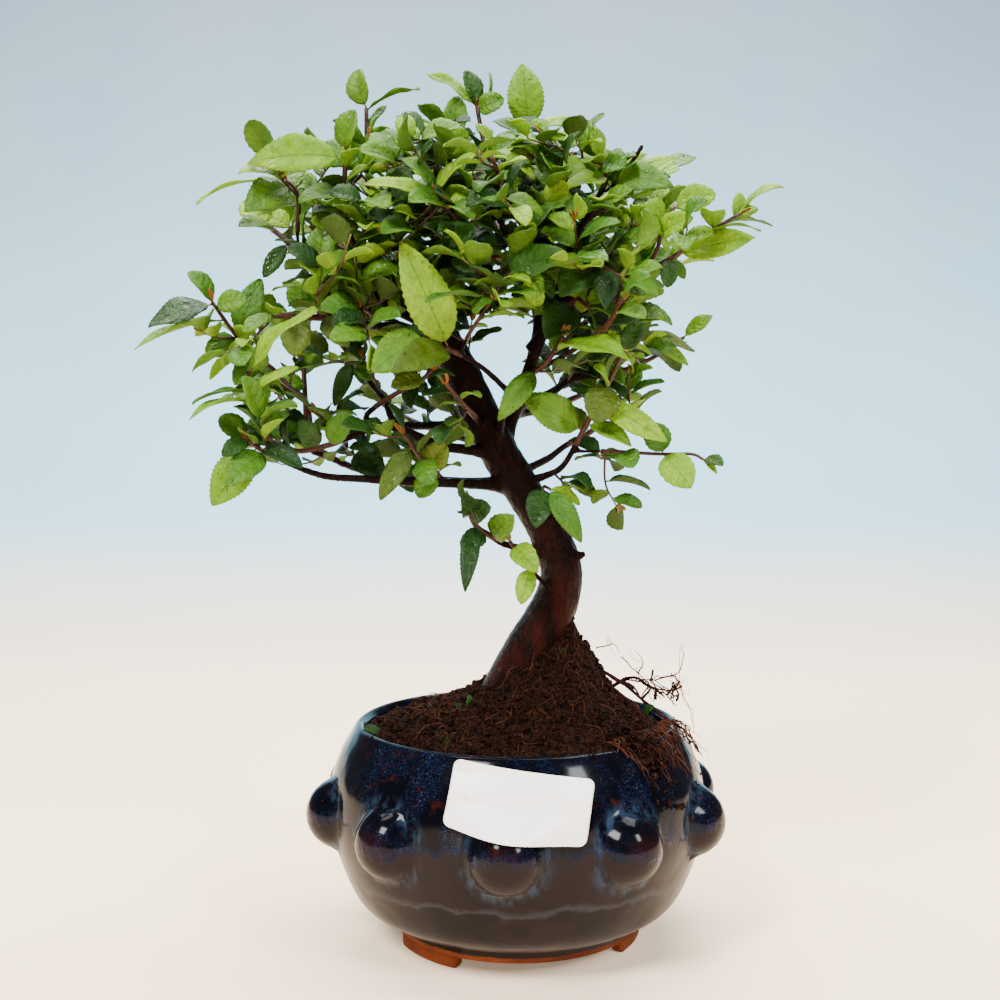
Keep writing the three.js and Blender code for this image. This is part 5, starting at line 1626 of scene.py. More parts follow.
@dataclass
class Pot:
    """The round glazed pot with ten bosses, a foot ring and three low feet.

    Attributes:
        outer: Radius and height from the foot up to the lip.
        inner: Radius and height down the inside.
        underside: Radius and height from the middle of the base out to the wall.
        floor: The height of the inside floor.
        steps: Faces round the pot.
        spacing: The longest face up the wall.
    """

    outer: tuple[Pair, ...] = (
        (48.5, 9), (54.5, 11.5), (61.5, 17), (67.5, 30), (71.3, 45), (70.6, 59),
        (67.4, 69), (63.6, 76), (61.2, 79.6), (59.8, 80.4),
    )
    inner: tuple[Pair, ...] = (
        (59.2, 80.3), (58.3, 79.4), (57.8, 76), (64, 63), (65, 46), (59, 26), (46, 16),
    )
    underside: tuple[Pair, ...] = (
        (0.01, 9), (39.5, 9), (40.8, 8), (41.5, 4.9), (42.6, 4.5), (46.8, 4.5),
    )
    floor: float = 15.0
    steps: int = 256
    spacing: float = 1.6

    BOSS_COUNT = 10
    BOSS_RADIUS = 13.0
    BOSS_RING = 67.5
    BOSS_HEIGHT = 49.0
    BOSS_BLEND = 1.6
    FIRST_BOSS_DEG = -4.0
    FEET_DEG = (-47.0, 73.0, 193.0)
    FOOT_RING = 44.4
    FRONT = -math.pi / 2

    @cached_property
    def wall(self) -> Route:
        """The smooth outer line of the wall, as radius, 0 and height."""
        return Route([(radius, 0.0, height) for radius, height in self.outer])

    @cached_property
    def wall_table(self) -> Array:
        """Height and radius up the wall, for lookups."""
        line = np.array([self.wall.at(i / 400) for i in range(401)])
        return line[:, [2, 0]]

    def wall_radius(self, height: float) -> float:
        """The radius of the outer wall at a height, without its bosses."""
        return float(np.interp(height, self.wall_table[:, 0], self.wall_table[:, 1]))

    def boss_turn(self, angle: float) -> float:
        """The angle from the nearest boss, for an angle from the front."""
        spacing = 2 * math.pi / self.BOSS_COUNT
        offset = angle - math.radians(self.FIRST_BOSS_DEG)
        return offset - spacing * round(offset / spacing)

    def radius_with_boss(self, radius: float, height: float, angle: float) -> float:
        """The radius of the skin where a boss swells out of the wall.

        Args:
            radius: The radius of the wall.
            height: The height in millimetres.
            angle: The angle from the front.

        Returns:
            The radius of the wall or of the boss, blended over a few millimetres.
        """
        turn = self.boss_turn(angle)
        beside, above = self.BOSS_RING * math.sin(turn), height - self.BOSS_HEIGHT
        inside = self.BOSS_RADIUS**2 - above**2 - beside**2
        if inside <= 0:
            return radius
        boss = self.BOSS_RING * math.cos(turn) + math.sqrt(inside)
        share = min(1.0, max(0.0, 0.5 + 0.5 * (boss - radius) / self.BOSS_BLEND))
        return radius + (boss - radius) * share + self.BOSS_BLEND * share * (1 - share)

    def build(self, glaze: Material) -> None:
        """Spins the profile, then raises the bosses and makes it a little uneven, as thrown clay is."""
        inner = Route([(radius, 0.0, height) for radius, height in self.inner])
        profile = list(self.underside)
        for side, spacing in ((self.wall, self.spacing), (inner, 3.0)):
            profile += [(point[0], point[2]) for point in side.all_at(side.line(0.0, 1.0, spacing))]
        profile += [(40.0, self.floor), (0.01, self.floor)]
        mesh = spun(profile, self.steps)
        for vertex in mesh.verts:
            x, y, height = vertex.co
            radius = math.hypot(x, y)
            if radius < 48.4 or height < 9 or radius < self.wall_radius(height) - 0.5:
                continue
            angle = math.remainder(math.atan2(y, x) - self.FRONT, 2 * math.pi)
            swollen = self.radius_with_boss(radius, height, angle)
            swollen += 0.22 * noise.noise(Vector((x, y, height)) * 0.035) * smooth_step(9, 20, height)
            vertex.co.x *= swollen / radius
            vertex.co.y *= swollen / radius
        for centre in self.FEET_DEG:
            self.add_foot(mesh, math.radians(centre))
        finished(mesh, "glazed_pot", [glaze], "pot")

    def add_foot(self, mesh: Mesh, centre: float) -> None:
        """Adds a low foot with rounded ends to the ring under the pot.

        Args:
            mesh: The pot.
            centre: The angle of its middle from the front.
        """
        half, half_thick, half_high, squareness = math.radians(20), 2.6, 3.1, 0.45

        def place(across: float, along: float) -> Point:
            """A point of a rounded block that closes at both ends."""
            angle = self.FRONT + centre + half * (2 * along - 1)
            fullness = min(1.0, (1 - abs(2 * along - 1)) * 9) ** 0.5
            parts = math.sin(math.pi * across), math.cos(math.pi * across)
            side, rise = (math.copysign(abs(part) ** squareness, part) for part in parts)
            radius = self.FOOT_RING + half_thick * side * fullness
            return radius * math.cos(angle), radius * math.sin(angle), half_high + half_high * rise * fullness

        skin = add_sheet(mesh, 20, 40, place)
        bmesh.ops.remove_doubles(mesh, verts=skin, dist=0.02)


@dataclass
class Soil:
    """The heap of peat with its crumbs, fibres, roots and what is spilt over the rim.

    Attributes:
        edge_height: The height at the wall.
        peak: Where the heap is highest.
        rise: How far it climbs.
        crumbs: How many loose crumbs lie on it.
        fibres: How many short fibres lie on it.
        roots: The radius and the route of each coarse root.
        hairs: The route of each thin root that stands out of the heap.
        rim: How far out the heap reaches.
        seed: The seed of the noise that bends roots and roughens crumbs. Blender's own is the clock.
    """

    edge_height: float = 76.0
    peak: Pair = (20.0, 0.0)
    rise: float = 45.0
    crumbs: int = 3400
    fibres: int = 260
    roots: tuple[tuple[float, tuple[Point, ...]], ...] = (
        (0.9, ((34, -6, 95), (44, -20, 88), (48, -36, 81.5), (50, -45, 80.5), (53, -51, 74))),
        (0.8, ((30, 4, 100), (44, -4, 92), (54, -14, 84), (61, -20, 80.5), (66, -22, 73))),
        (0.8, ((36, 2, 92), (42, 0, 96), (50, -4, 95), (56, -8, 90))),
    )
    hairs: tuple[tuple[Point, ...], ...] = (
        ((-27, -20, 84), (-33, -24, 87), (-36, -27, 90), (-39, -26, 88)),
        ((-27, -20, 84), (-34, -28, 83), (-38, -34, 80)),
        ((-24, -18, 86), (-26, -22, 93), (-30, -25, 96), (-33, -26, 93)),
        ((-20, -14, 88), (-28, -20, 88), (-31, -24, 93)),
        ((40, 2, 104), (45, 0, 100), (49, -2, 93), (52, -4, 88)),
        ((52, -4, 96), (58, -5, 97), (62, -6, 94), (65, -9, 84), (66, -12, 78)),
        ((54, -4, 97), (60, -4, 99), (63, -4, 105), (63, -4, 110)),
        ((50, -4, 94), (57, -7, 92), (61, -8, 94), (64, -9, 98)),
        ((46, -2, 98), (47, -4, 103), (44, -4, 107)),
        ((30, -2, 108), (36, -4, 110), (39, -4, 106)),
    )
    rim: float = 57.6
    seed: int = 7

    def height(self, x: float, y: float) -> float:
        """The height of the heap, without its small clods."""
        beside = x - self.peak[0]
        away = math.hypot(beside * (0.43 if beside < 0 else 1.0), (y - self.peak[1]) * 0.5)
        waves = math.sin(0.61 * x + 0.23 * y) + math.sin(0.53 * y - 0.31 * x + 1.7) + math.sin(0.37 * (x + y))
        return self.edge_height + self.rise * max(0.0, 1 - away / 43) ** 2.2 + 0.45 * waves

    def top(self, x: float, y: float) -> float:
        """The height of the rough surface."""
        spot = Vector((x, y, 0.0))
        clods = 2.0 * noise.fractal(spot * 0.2, 1.0, 2.0, 4) + 0.6 * noise.noise(spot * 1.1)
        inside = smooth_step(self.rim, self.rim - 6, math.hypot(x, y))
        return self.height(x, y) + clods * (0.35 + 0.65 * inside)

    def scatter(self, draw: Draw, edge: float = 55.5) -> Pair:
        """A spot on the soil."""
        radius = edge * math.sqrt(draw())
        angle = 2 * math.pi * draw()
        return radius * math.cos(angle), radius * math.sin(angle)

    def build_heap(self, earth: Material) -> None:
        """The body of soil: a rough top over a plain underside inside the pot."""
        profile = [(0.01, 40.0), (52.0, 42.0), (58.0, 62.0), (57.3, 70.0)]
        profile += [(max(self.rim * (1 - i / 64), 0.01), 75.0) for i in range(65)]
        mesh = spun(profile, 300)
        for vertex in mesh.verts:
            if vertex.co.z > 74:
                vertex.co.z = self.top(vertex.co.x, vertex.co.y)
        finished(mesh, "soil_heap", [earth], "soil")

    def add_crumb(self, mesh: Mesh, draw: Draw, centre: Point, size: float) -> None:
        """Adds one rough crumb.

        Args:
            mesh: Where it is added.
            draw: The source of its shape.
            centre: Its middle.
            size: Its radius.
        """
        turn = Matrix.Rotation(6.3 * draw(), 4, "Z") @ Matrix.Rotation(6.3 * draw(), 4, "X")
        scale = Matrix.Diagonal((size * draw.between(0.7, 1.5), size, size * draw.between(0.5, 0.9), 1.0))
        matrix = Matrix.Translation(centre) @ turn @ scale
        made = bmesh.ops.create_icosphere(mesh, subdivisions=1, radius=1.0, matrix=matrix)["verts"]
        for vertex in made:
            vertex.co += noise.noise_vector(vertex.co * 1.3) * size * 0.45

    def build_crumbs(self, earth: Material) -> None:
        """Loose crumbs over the heap, thicker on its climb."""
        draw = Draw(31)
        crumbs = Gathering()
        for _ in range(self.crumbs):
            x, y = self.scatter(draw)
            size = 0.3 + 1.15 * draw() ** 3.5
            self.add_crumb(crumbs.next(), draw, (x, y, self.top(x, y) + 0.3 * size), size)
        for _ in range(90):
            side = draw.between(0.2, 1.0)
            x, y = 26 + 12 * side * draw(), -6 + 14 * draw()
            self.add_crumb(crumbs.next(), draw, (x, y, self.top(x, y) + 0.5), 0.7 + 1.3 * draw())
        finished(crumbs.done(), "soil_crumbs", [earth], "soil")

    def build_spill(self, earth: Material, pot: Pot) -> None:
        """Crumbs spilt over the rim at the right, and a few elsewhere on the shoulder."""
        draw = Draw(77)
        crumbs = Gathering()
        for _ in range(520):
            spread = (draw() + draw() + draw() - 1.5) / 1.5
            x, y = 41 + 17 * spread, -41 - 5 * spread + 9 * (draw() + draw() - 1)
            radius = math.hypot(x, y)
            size = 0.35 + 1.2 * draw() ** 2.5
            heap = 3.4 * max(0.0, 1 - ((x - 41) / 15) ** 2 - ((y + 41) / 13) ** 2) * draw()
            ground = self.height(x, y) if radius < self.rim else 80.2
            if radius > 60:
                ground = self.on_shoulder(pot, radius)
            self.add_crumb(crumbs.next(), draw, (x, y, ground + heap + 0.3 * size), size)
        for _ in range(150):
            angle = draw.between(-2.9, 0.9) if draw() < 0.45 else draw.between(-1.2, -0.35)
            height = 80.3 - 26 * draw() ** 2.2
            radius = pot.wall_radius(height)
            from_front = math.remainder(angle - Pot.FRONT, 2 * math.pi)
            radius = pot.radius_with_boss(radius, height, from_front)
            size = 0.22 + 0.5 * draw() ** 3
            centre = (radius * math.cos(angle), radius * math.sin(angle), height)
            self.add_crumb(crumbs.next(), draw, centre, size)
        finished(crumbs.done(), "spilt_crumbs", [earth], "soil")

    def on_shoulder(self, pot: Pot, radius: float) -> float:
        """The height of the pot's shoulder at a radius."""
        upper = pot.wall_table[pot.wall_table[:, 0] > 59]
        return float(np.interp(radius, upper[::-1, 1], upper[::-1, 0]))

    def add_strand(
        self, mesh: Mesh, draw: Draw, points: Sequence[Sequence[float]], radius: float,
        wander: float,
    ) -> None:
        """Adds a thin root that wanders about its route.

        Args:
            mesh: Where it is added.
            draw: The source of its wander.
            points: The points of its route.
            radius: Its radius at the start.
            wander: How far it strays.
        """
        route = Route(points)
        places = route.line(0.0, 1.0, 1.4)
        phase = 40 * draw()
        centres = []
        for place, centre in zip(places, route.all_at(places)):
            stray = noise.noise_vector(Vector((phase, place * route.length * 0.16, 3.0)))
            centres.append(centre + np.array(stray) * wander * min(1.0, 4 * place))
        add_tube(mesh, centres, tapered(radius, 0.4 * radius, len(centres) - 1), 4)

    def build_roots(self, bark: Material) -> None:
        """The coarse roots on the heap and over the rim, with finer ones beside them."""
        draw = Draw(5)
        mesh = bmesh.new()
        for radius, route in self.roots:
            self.add_strand(mesh, draw, route, radius, 1.6)
            for _ in range(4):
                shift = np.array([draw() - 0.5, draw() - 0.5, 0.15 * draw()]) * 9
                finer = [np.array(point) + shift * (i / len(route)) for i, point in enumerate(route)]
                self.add_strand(mesh, draw, finer, 0.24 + 0.2 * draw(), 2.6)
        clump = ((50, -4, 95), (54, -5, 95), (57, -7, 93))
        for _ in range(16):
            middle = np.array(clump[int(2.99 * draw())]) + draw.aside() * 6
            start, end = (middle + draw.aside() * 9 for _ in range(2))
            self.add_strand(mesh, draw, [start, middle, end], 0.3 + 0.3 * draw(), 1.5)
        finished(mesh, "coarse_roots", [bark], "soil")

    def fibre_route(self, draw: Draw) -> list[Point]:
        """The route of a short fibre on the heap, cut off at the wall."""
        x, y = self.scatter(draw, 54.0)
        angle, length = 6.28 * draw(), 3 + 8 * draw() ** 2
        points = []
        for i in range(4):
            step = length * i / 3
            spot_x, spot_y = x + step * math.cos(angle), y + step * math.sin(angle)
            if math.hypot(spot_x, spot_y) > 56.5:
                break
            lift = 0.25 + 1.1 * draw()
            points.append((spot_x, spot_y, self.top(spot_x, spot_y) + lift))
            angle += 1.2 * (draw() - 0.5)
        return points

    def spilt_route(self, draw: Draw) -> list[Array]:
        """The route of a hair root that hangs over the rim at the right."""
        x = 42 + 24 * (draw() - 0.5)
        y = -math.sqrt(max(0.0, 56.0**2 - x * x)) + 3
        drop = 6 + 16 * draw() ** 2
        outward = unit(np.array([x, y, 0.0]))
        start = np.array([x, y, 81.0 + 2 * draw()])
        middle = start + outward * 5 + (1.5 * (draw() - 0.5), 0, 0)
        return [start, middle, start + outward * (8 + 0.35 * drop) + (7 * (draw() - 0.5), 0, -drop * 0.7)]

    def build_fibres(self, strand: Material) -> None:
        """Short fibres on the heap and the hair roots that stand out of it."""
        draw = Draw(12)
        strands = Gathering()
        for _ in range(self.fibres):
            points = self.fibre_route(draw)
            if len(points) > 2:
                self.add_strand(strands.next(), draw, points, 0.1 + 0.12 * draw(), 0.5)
        for points in self.hairs:
            self.add_strand(strands.next(), draw, points, 0.3, 1.8)
            side = [np.array(point) + draw.aside() * 7 for point in points[1:]]
            self.add_strand(strands.next(), draw, [points[1], *side], 0.17, 2.2)
        for _ in range(74):
            self.add_strand(strands.next(), draw, self.spilt_route(draw), 0.15 + 0.16 * draw(), 2.6)
        finished(strands.done(), "root_hairs", [strand], "soil")

    def build(self, finishes: Sequence[Material], pot: Pot) -> None:
        """Builds every piece of the soil, with the finishes of the earth, the bark and the fibres."""
        earth, bark, strand = finishes
        noise.seed_set(self.seed)
        self.build_heap(earth)
        self.build_crumbs(earth)
        self.build_spill(earth, pot)
        self.build_roots(bark)
        self.build_fibres(strand)


@dataclass
class Label:
    """The blank paper label bent over the shoulder and the top of the front boss.

    Attributes:
        width: Its size across.
        height: Its size upward.
        thickness: The paper with its glue.
        lift: How far its middle stands from the glaze.
        centre_height: The height of its middle.
        tilt_deg: How it is turned in its plane.
        lean: How much of its height it takes up, as it leans back.
        corner: The radius of its corners.
    """

    width: float = 48.0
    height: float = 24.0
    thickness: float = 0.3
    lift: float = 0.85
    centre_height: float = 66.5
    tilt_deg: float = -9.5
    lean: float = 0.86
    corner: float = 2.6

    def place(self, pot: Pot, across: float, upward: float, outward: float) -> Point:
        """A point of the label.

        Args:
            pot: What it is stuck on.
            across: Millimetres to the right of its middle.
            upward: Millimetres above its middle.
            outward: Millimetres out from the middle of the paper.

        Returns:
            The point about the pot's axis.
        """
        tilt = math.radians(self.tilt_deg)
        height = self.centre_height + self.lean * (across * math.sin(tilt) + upward * math.cos(tilt))
        arc = across * math.cos(tilt) - upward * math.sin(tilt)
        wall = max(pot.wall_radius(min(height, 80.4)), 66.5 - 0.3 * (height - 66.5))
        angle = arc / wall
        from_boss = (angle - math.radians(Pot.FIRST_BOSS_DEG)) * Pot.BOSS_RING
        over_boss = math.exp(-(from_boss**2) / 200) * smooth_step(67, 56, height)
        radius = wall + 7.6 * over_boss + self.lift + outward
        turn = Pot.FRONT + angle
        return radius * math.cos(turn), radius * math.sin(turn), height

    def corner_share(self, upward: float) -> float:
        """How much of the half width is left at a height, where the corners are rounded."""
        inset = max(0.0, abs(upward) - (self.height / 2 - self.corner))
        cut = self.corner - math.sqrt(max(0.0, self.corner**2 - inset**2))
        return 1 - cut / (self.width / 2)

    def build(self, paper: Material, pot: Pot) -> None:
        """Bends two sheets to shape and joins them along the edge."""
        mesh = bmesh.new()

        def sheet(outward: float) -> Place:
            """One face of the paper."""

            def at(across: float, along: float) -> Point:
                """A point of the face, on the creased paper."""
                rise = math.sin(math.pi / 2 * (2 * along - 1)) * self.height / 2
                wide = across * self.width / 2 * self.corner_share(rise)
                crease = 0.16 * noise.noise(Vector((wide * 0.14, rise * 0.2, 4.0)))
                return self.place(pot, wide, rise, outward + crease)

            return at

        for outward in (self.thickness / 2, -self.thickness / 2):
            add_sheet(mesh, 64, 44, sheet(outward))
        rims = [edge for edge in mesh.edges if edge.is_boundary]
        bmesh.ops.bridge_loops(mesh, edges=rims)
        finished(mesh, "paper_label", [paper], "blank_label")


# Trunk and crown


@dataclass
class Trunk:
    """The curved trunk with its limbs grown into it.

    Attributes:
        line: Points and radii from inside the soil to the top.
        skin_step: The size of the faces of the finished skin.
        roughness: How far the bark's ridges rise.
    """

    line: tuple[tuple[float, float, float, float], ...] = (
        (-7, 2, 64, 11), (-5, 0, 78, 14.5), (-1, 0, 91, 13), (4, 0, 104, 11), (10, 0, 116, 9.4),
        (15, 0, 126, 8.7), (17, 1, 135, 8.4), (15, 1, 145, 7.9), (9, 0, 157, 7.1), (1, -2, 170, 7),
        (-7, -3, 183, 7.2), (-15, -3, 199, 7), (-20, -2, 211, 6.5), (-26, 0, 223, 5.9),
        (-34, 3, 236, 5.4), (-42, 5, 247, 4.9), (-46, 6, 255, 4.2),
    )
    skin_step: float = 0.8
    roughness: float = 0.32

    @cached_property
    def route(self) -> Route:
        """The curve of the trunk."""
        return Route(self.line)

    def radius(self, place: float) -> float:
        """The radius at a place from 0 to 1."""
        girths = [point[3] for point in self.line]
        return float(np.interp(place * (len(girths) - 1), range(len(girths)), girths))

    def skin(self, place: float, angle: float) -> float:
        """The radius with the ridges of the foot."""
        foot = 0.16 * max(0.0, 1 - place / 0.28) * math.cos(3 * angle + 0.8)
        return self.radius(place) * (1 + foot + 0.03 * math.cos(2 * angle + 9 * place))

    def add_stem(self, mesh: Mesh) -> None:
        """Adds the trunk as a ringed tube, its angles counted as in the solids."""
        places = self.route.line(0.003, 1.0, 1.4)
        frames = []
        for at in places:
            heading = self.route.heading(at)
            first = unit(np.cross((0.0, 1.0, 0.0), heading))
            frames.append((first, np.cross(heading, first)))
        centres = [self.route.at(at) for at in places]
        add_rings(mesh, centres, frames, lambda at, angle: self.skin(places[at], angle), 40)

    def add_limbs(self, mesh: Mesh, branches: Sequence[Branch]) -> None:
        """Adds the bare part of every limb, swollen where it leaves its parent."""
        for branch in branches:
            route = branch.route
            end = min(1.0, branch.leafy_from + 1.2 / route.length)
            places = route.line(0.0, end, 1.3)
            radii = []
            for at in places:
                collar = 0.5 * max(0.0, 1 - at * route.length / (3.2 * branch.radius(0))) ** 2
                radii.append(branch.radius(at) * (1 + collar))
            centres = [route.at(at) for at in places]
            add_tube(mesh, centres, lambda at, _, radii=radii: radii[at], 10)
        knot = Route([(13, -2, 139), (21, -2.5, 142.6), (26, -3, 144)])
        centres = [knot.at(at) for at in knot.line(0.0, 1.0, 1.0)]
        add_tube(mesh, centres, tapered(3.4, 1.25, len(centres) - 1, 0.7), 12)

    def build(self, bark: Material, branches: Sequence[Branch]) -> None:
        """Joins the stem and limbs into one skin, smooths the joints and raises the bark."""
        mesh = bmesh.new()
        self.add_stem(mesh)
        self.add_limbs(mesh, branches)
        bmesh.ops.recalc_face_normals(mesh, faces=mesh.faces)
        joined = skinned(mesh, self.skin_step * (1))
        for _ in range(2):
            along = {"use_axis_x": True, "use_axis_y": True, "use_axis_z": True}
            bmesh.ops.smooth_vert(joined, verts=joined.verts, factor=0.5, **along)
        joined.normal_update()
        line = np.array([self.route.at(i / 60) for i in range(61)])
        for vertex in joined.verts:
            away = np.linalg.norm(line - np.array(vertex.co), axis=1).min()
            thick = smooth_step(3, 8, 15 - away) if away < 15 else 0.0
            spot = Vector((vertex.co.x, vertex.co.y, vertex.co.z * 0.45))
            ridge = noise.fractal(spot * 0.5, 1.0, 2.0, 3) + 0.8 * noise.noise(spot * 0.16)
            vertex.co += vertex.normal * ridge * self.roughness * (0.25 + 0.75 * thick)
        finished(joined, "trunk_and_limbs", [bark], "trunk")


def skinned(mesh: Mesh, step: float) -> Mesh:
    """One closed skin over overlapping shapes.

    Args:
        mesh: The shapes in millimetres, which are freed.
        step: The size of the new faces.

    Returns:
        The new mesh.
    """
    data = bpy.data.meshes.new("shapes")
    mesh.to_mesh(data)
    mesh.free()
    holder = bpy.data.objects.new("shapes", data)
    bpy.context.collection.objects.link(holder)
    remesh = holder.modifiers.new("skin", "REMESH")
    remesh.mode = "VOXEL"
    remesh.voxel_size = step
    remesh.adaptivity = 0.0
    bpy.context.view_layer.update()
    skin = holder.evaluated_get(bpy.context.evaluated_depsgraph_get()).to_mesh()
    joined = bmesh.new()
    joined.from_mesh(skin)
    bpy.data.objects.remove(holder)
    bpy.data.meshes.remove(data)
    return joined


@dataclass
class Crown:
    """The leaves and twigs of every spray.

    Attributes:
        upper: The finish of the upper side of the leaves.
        under: The finish of their underside.
        twig_skin: The finish of the twigs.
        large: The length from which a leaf gets more faces.
        seedlings: The base and the tip of each small leaf that grows on the soil.
    """

    upper: Material
    under: Material
    twig_skin: Material
    large: float = 18.0
    seedlings: tuple[tuple[Point, Point], ...] = (
        ((-17, -12, 83), (-23, -14, 89)), ((-17, -12, 83), (-18, -15, 92.5)),
        ((-17, -12, 83), (-13, -15, 90)), ((-50, -16, 78), (-57, -18, 81)),
        ((-20, -30, 78), (-24, -34, 82)), ((46, -22, 86), (49, -27, 91)),
    )

    MAP = "leaf_map"
    LUCK_TILES = 16
    MARGIN = 0.02
    FINE = (4, 30)
    COARSE = (4, 12)
    TOOTH = 0.075
    BLADE = 0.36

    def add_leaf(self, mesh: Mesh, leaf: LeafShape) -> None:
        """Adds one toothed, gently waved leaf and lays out its map.

        Args:
            mesh: The spray's leaves.
            leaf: Its shape.
        """
        draw = Draw(50000 + leaf.seed * 3)
        columns, rows = self.FINE if leaf.length >= self.large else self.COARSE
        wave, phase = draw.between(0.01, 0.035), 6.28 * draw()
        curl = draw.between(-0.6, 0.6)
        tile = np.array((leaf.tone.value, int(self.LUCK_TILES * draw())))

        along, beside = np.arange(rows + 1) / rows, np.arange(columns + 1) / columns * 2 - 1
        along, across = np.meshgrid(along, beside, indexing="ij")
        start = leaf.STALK_SHARE * 0.9
        shares = start + (1 - start) * along
        halves = np.vectorize(leaf.outline)(shares)
        saw = np.arange(rows + 1)[:, None] % 2 - 0.5
        halves = np.where(halves > 0.6, halves * (1 + self.TOOTH * saw * np.abs(across) ** 4), halves)
        flat = leaf.points(shares.ravel(), (halves * across).ravel())
        ripple = wave * leaf.length * across**2 * np.sin(9 * along + phase + 2.1 * (across < 0))
        droop = -curl * 0.05 * leaf.length * along**3
        lift = (ripple + droop) * np.minimum(1.0, 5 * along)
        surface = flat + lift.ravel()[:, None] * leaf.normal

        made = add_sheet(mesh, columns, rows, lambda *_: (0.0, 0.0, 0.0))
        for vertex, point in zip(made, surface):
            vertex.co = point
        self.lay_out(mesh, made, (columns + 1, rows + 1), tile)

    def lay_out(
        self, mesh: Mesh, made: Sequence[bmesh.types.BMVert], counts: tuple[int, int],
        tile: Array,
    ) -> None:
        """Gives every corner of a leaf its place in a tile of the map.

        Args:
            mesh: The spray's leaves.
            made: The leaf's vertices, row by row.
            counts: How many there are across and along.
            tile: The tile's numbers.
        """
        tiles = mesh.loops.layers.uv[self.MAP]
        across, along = counts
        for number, vertex in enumerate(made):
            place = np.array(((number % across) / (across - 1), (number // across) / (along - 1)))
            for loop in vertex.link_loops:
                loop[tiles].uv = tile + self.MARGIN + (1 - 2 * self.MARGIN) * place

    def build_leaves(self, name: str, leaves: Iterable[LeafShape], replaced: str) -> None:
        """Builds leaves as thin blades with a paler underside.

        Args:
            name: The piece's name.
            leaves: Their shapes.
            replaced: The solid that they stand for.
        """
        blades = Gathering(self.MAP)
        for leaf in leaves:
            self.add_leaf(blades.next(), leaf)
        piece = finished(blades.done(), name, [self.upper, self.under], replaced, is_closed=False)
        blade = piece.modifiers.new("blade", "SOLIDIFY")
        blade.thickness = self.BLADE * MM
        blade.offset = 0.0
        blade.material_offset = 1
        blade.use_rim = True

    def add_twig(
        self, mesh: Mesh, centres: Sequence[Array], radii: Pair,
        ages: Pair, sides: int = 6,
    ) -> None:
        """Adds a twig or stalk and writes the age of its wood in the map.

        Args:
            mesh: The spray's twigs.
            centres: Points along it.
            radii: Its radius at both ends.
            ages: How young the wood is at both ends, from 0 to 1.
            sides: Faces round it.
        """
        tiles = mesh.loops.layers.uv[self.MAP]
        known = set(mesh.faces)
        add_tube(mesh, centres, tapered(*radii, len(centres) - 1), sides)
        start, course = centres[0], centres[-1] - centres[0]
        reach = float(course @ course)
        for face in mesh.faces:
            if face in known:
                continue
            for loop in face.loops:
                share = float((np.array(loop.vert.co) - start) @ course) / reach
                age = ages[0] + (ages[1] - ages[0]) * min(1.0, max(0.0, share))
                loop[tiles].uv = (age, 0.5)

    def build_twigs(self, spray: Spray) -> None:
        """The leafy end of the limb, its side twigs and the stalk of every leaf."""
        branch = spray.branch
        twigs = Gathering(self.MAP)
        start = max(0.0, branch.leafy_from - 1.0 / branch.route.length)
        places = branch.route.line(start, 1.0, 2.0)
        centres = list(branch.route.all_at(places))
        radii = (branch.radius(start), max(0.34, branch.radius(1.0)))
        self.add_twig(twigs.next(), centres, radii, (0.0, 0.55))
        for twig in spray.twigs:
            centres = list(twig.route.all_at(twig.route.line(0.0, 1.0, 2.6)))
            self.add_twig(twigs.next(), centres, twig.radii, (0.1, 0.8))
        for leaf in spray.leaves:
            if leaf.tone is not BUD:
                stalk = list(leaf.points(np.array([0.0, 0.08, 0.16]), np.zeros(3)))
                self.add_twig(twigs.next(), stalk, (0.36, 0.26), (0.6, 0.9), 4)
        finished(twigs.done(), f"twig_{branch.name}", [self.twig_skin], f"spray_{branch.name}")

    def build(self, sprays: Iterable[Spray]) -> None:
        """Builds every spray, and the seedlings on the soil."""
        for spray in sprays:
            if spray.leaves:
                name = spray.branch.name
                self.build_leaves(f"leaves_{name}", spray.leaves, f"spray_{name}")
                self.build_twigs(spray)
        small = []
        for number, ends in enumerate(self.seedlings):
            base, tip = (np.array(end) for end in ends)
            small.append(LeafShape(base, tip, np.array(TILT.value), 3.8, 0.2, 0.1, DARK, 900 + number))
        self.build_leaves("seedlings", small, "soil")


# Studio


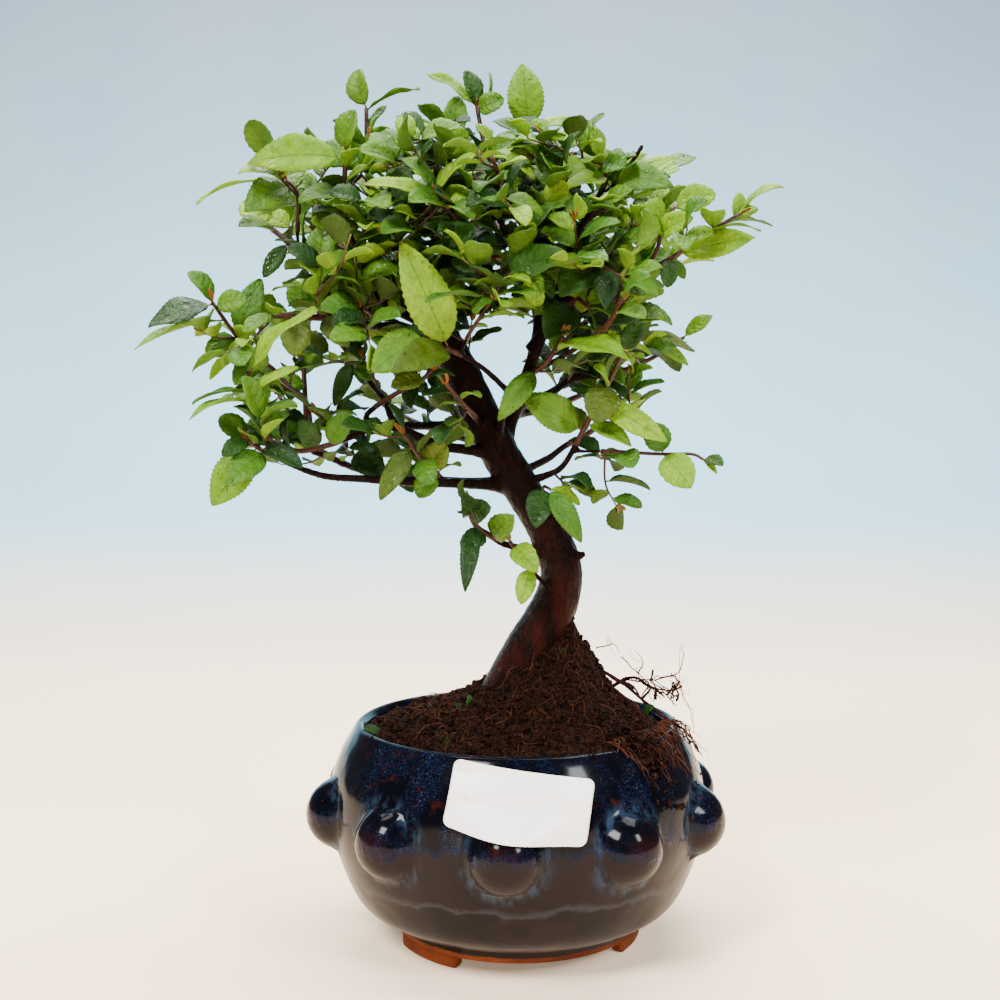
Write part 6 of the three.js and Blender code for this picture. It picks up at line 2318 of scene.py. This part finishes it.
@dataclass
class Studio:
    """A pale floor with a sweep behind it, soft lights and the camera.

    Attributes:
        lens: The camera's focal length in millimetres.
        eye: Where the camera stands, in metres.
        pitch_deg: How far it looks down.
        sweep_start: How far behind the tree the floor starts to rise, in metres.
    """

    lens: float = 45.0
    eye: Point = (0.0155, -0.4757, 0.1835)
    pitch_deg: float = 2.3
    sweep_start: float = 0.75

    def build_floor(self, finish: Material) -> None:
        """The floor and the sweep as one smooth sheet."""
        rise = 0.55

        def place(across: float, along: float) -> Point:
            """A point of the floor or of the sweep."""
            travel = 4.2 * along
            flat = 1.6 + self.sweep_start
            half = 2.6 - 1.65 * smooth_step(flat - 0.8, flat + 0.3, travel)
            if travel < flat:
                return across * half, travel - 1.6, 0.0
            turn = min((travel - flat) / rise, math.pi / 2)
            above = max(0.0, travel - flat - rise * math.pi / 2)
            height = rise * (1 - math.cos(turn)) + above * 1.4
            return across * half, self.sweep_start + rise * math.sin(turn), height

        mesh = bmesh.new()
        add_sheet(mesh, 1, 120, place)
        bmesh.ops.recalc_face_normals(mesh, faces=mesh.faces)
        data = bpy.data.meshes.new("floor_and_sweep")
        mesh.to_mesh(data)
        mesh.free()
        data.shade_smooth()
        data.materials.append(finish)
        floor = bpy.data.objects.new("floor_and_sweep", data)
        bpy.context.collection.objects.link(floor)

    def add_light(
        self, name: str, spot: Point, size: Pair, power: float, tint: Colour = WARM
    ) -> None:
        """Adds a soft rectangular light that looks at the tree.

        Args:
            name: What it is called.
            spot: Where it stands, in metres.
            size: Its width and height in metres.
            power: Its strength in watts.
            tint: Its colour.
        """
        lamp = bpy.data.lights.new(name, "AREA")
        lamp.shape = "RECTANGLE"
        lamp.size, lamp.size_y = size
        lamp.energy = power
        lamp.color = tint
        light = bpy.data.objects.new(name, lamp)
        bpy.context.collection.objects.link(light)
        light.location = spot
        light.rotation_euler = (Vector((0.0, 0.0, 0.14)) - Vector(spot)).to_track_quat("-Z", "Y").to_euler()

    def build_lights(self) -> None:
        """A pale room, a large soft light from the upper left and a smaller one from the right."""
        world = bpy.data.worlds.new("pale_room")
        world.use_nodes = True
        background = world.node_tree.nodes["Background"]
        background.inputs["Color"].default_value = (0.86, 0.92, 1.0, 1.0)
        room = Graph(world.node_tree)
        seen = room.node("LightPath", {}).outputs["Is Camera Ray"]
        room.put(background.inputs["Strength"], room.smooth(seen, 0.0, 1.0, 0.22, 1.3))
        bpy.context.scene.world = world
        self.add_light("left_window", (-0.6, -0.87, 1.15), (0.34, 0.5), 44.0)
        self.add_light("right_window", (0.84, -0.84, 0.9), (0.26, 0.44), 22.0, (0.94, 0.97, 1.0))
        self.add_light("top_light", (0.0, 0.35, 1.5), (1.5, 1.2), 92.0)

    def build_camera(self) -> None:
        """The camera at the viewing angle."""
        camera = bpy.data.objects.new("camera", bpy.data.cameras.new("camera"))
        camera.data.lens = self.lens
        camera.data.sensor_width = 36.0
        camera.data.clip_start = 0.01
        camera.location = self.eye
        camera.rotation_euler = (math.radians(90 - self.pitch_deg), 0.0, 0.0)
        bpy.context.collection.objects.link(camera)
        bpy.context.scene.camera = camera

    def build(self) -> None:
        """Builds the floor, the lights and the camera."""
        self.build_floor(Backdrop().material())
        self.build_lights()
        self.build_camera()


def write_sizes() -> None:
    """Brings the view layer up to date."""
    bpy.context.view_layer.update()


def main() -> None:
    """Builds the pot, the soil, the label, the trunk, the crown and the studio."""
    logging.basicConfig(level=logging.INFO, format="%(name)s: %(message)s")
    bark = Bark().material()
    pot = Pot()
    pot.build(Glaze().material())
    Soil().build((Earth().material(), bark, Strand().material()), pot)
    Label().build(Paper().material(), pot)

    trunk = Trunk()
    trunk.build(bark, BRANCHES)
    growth = Growth([Spray(branch, number) for number, branch in enumerate(BRANCHES)])
    growth.grow(trunk.route, trunk.radius)
    under = LeafSkin("leaf_underside", Side.UNDER)
    Crown(LeafSkin().material(), under.material(), TwigSkin().material()).build(growth.sprays)

    Studio().build()
    write_sizes()


if __name__ == "__main__":
    main()
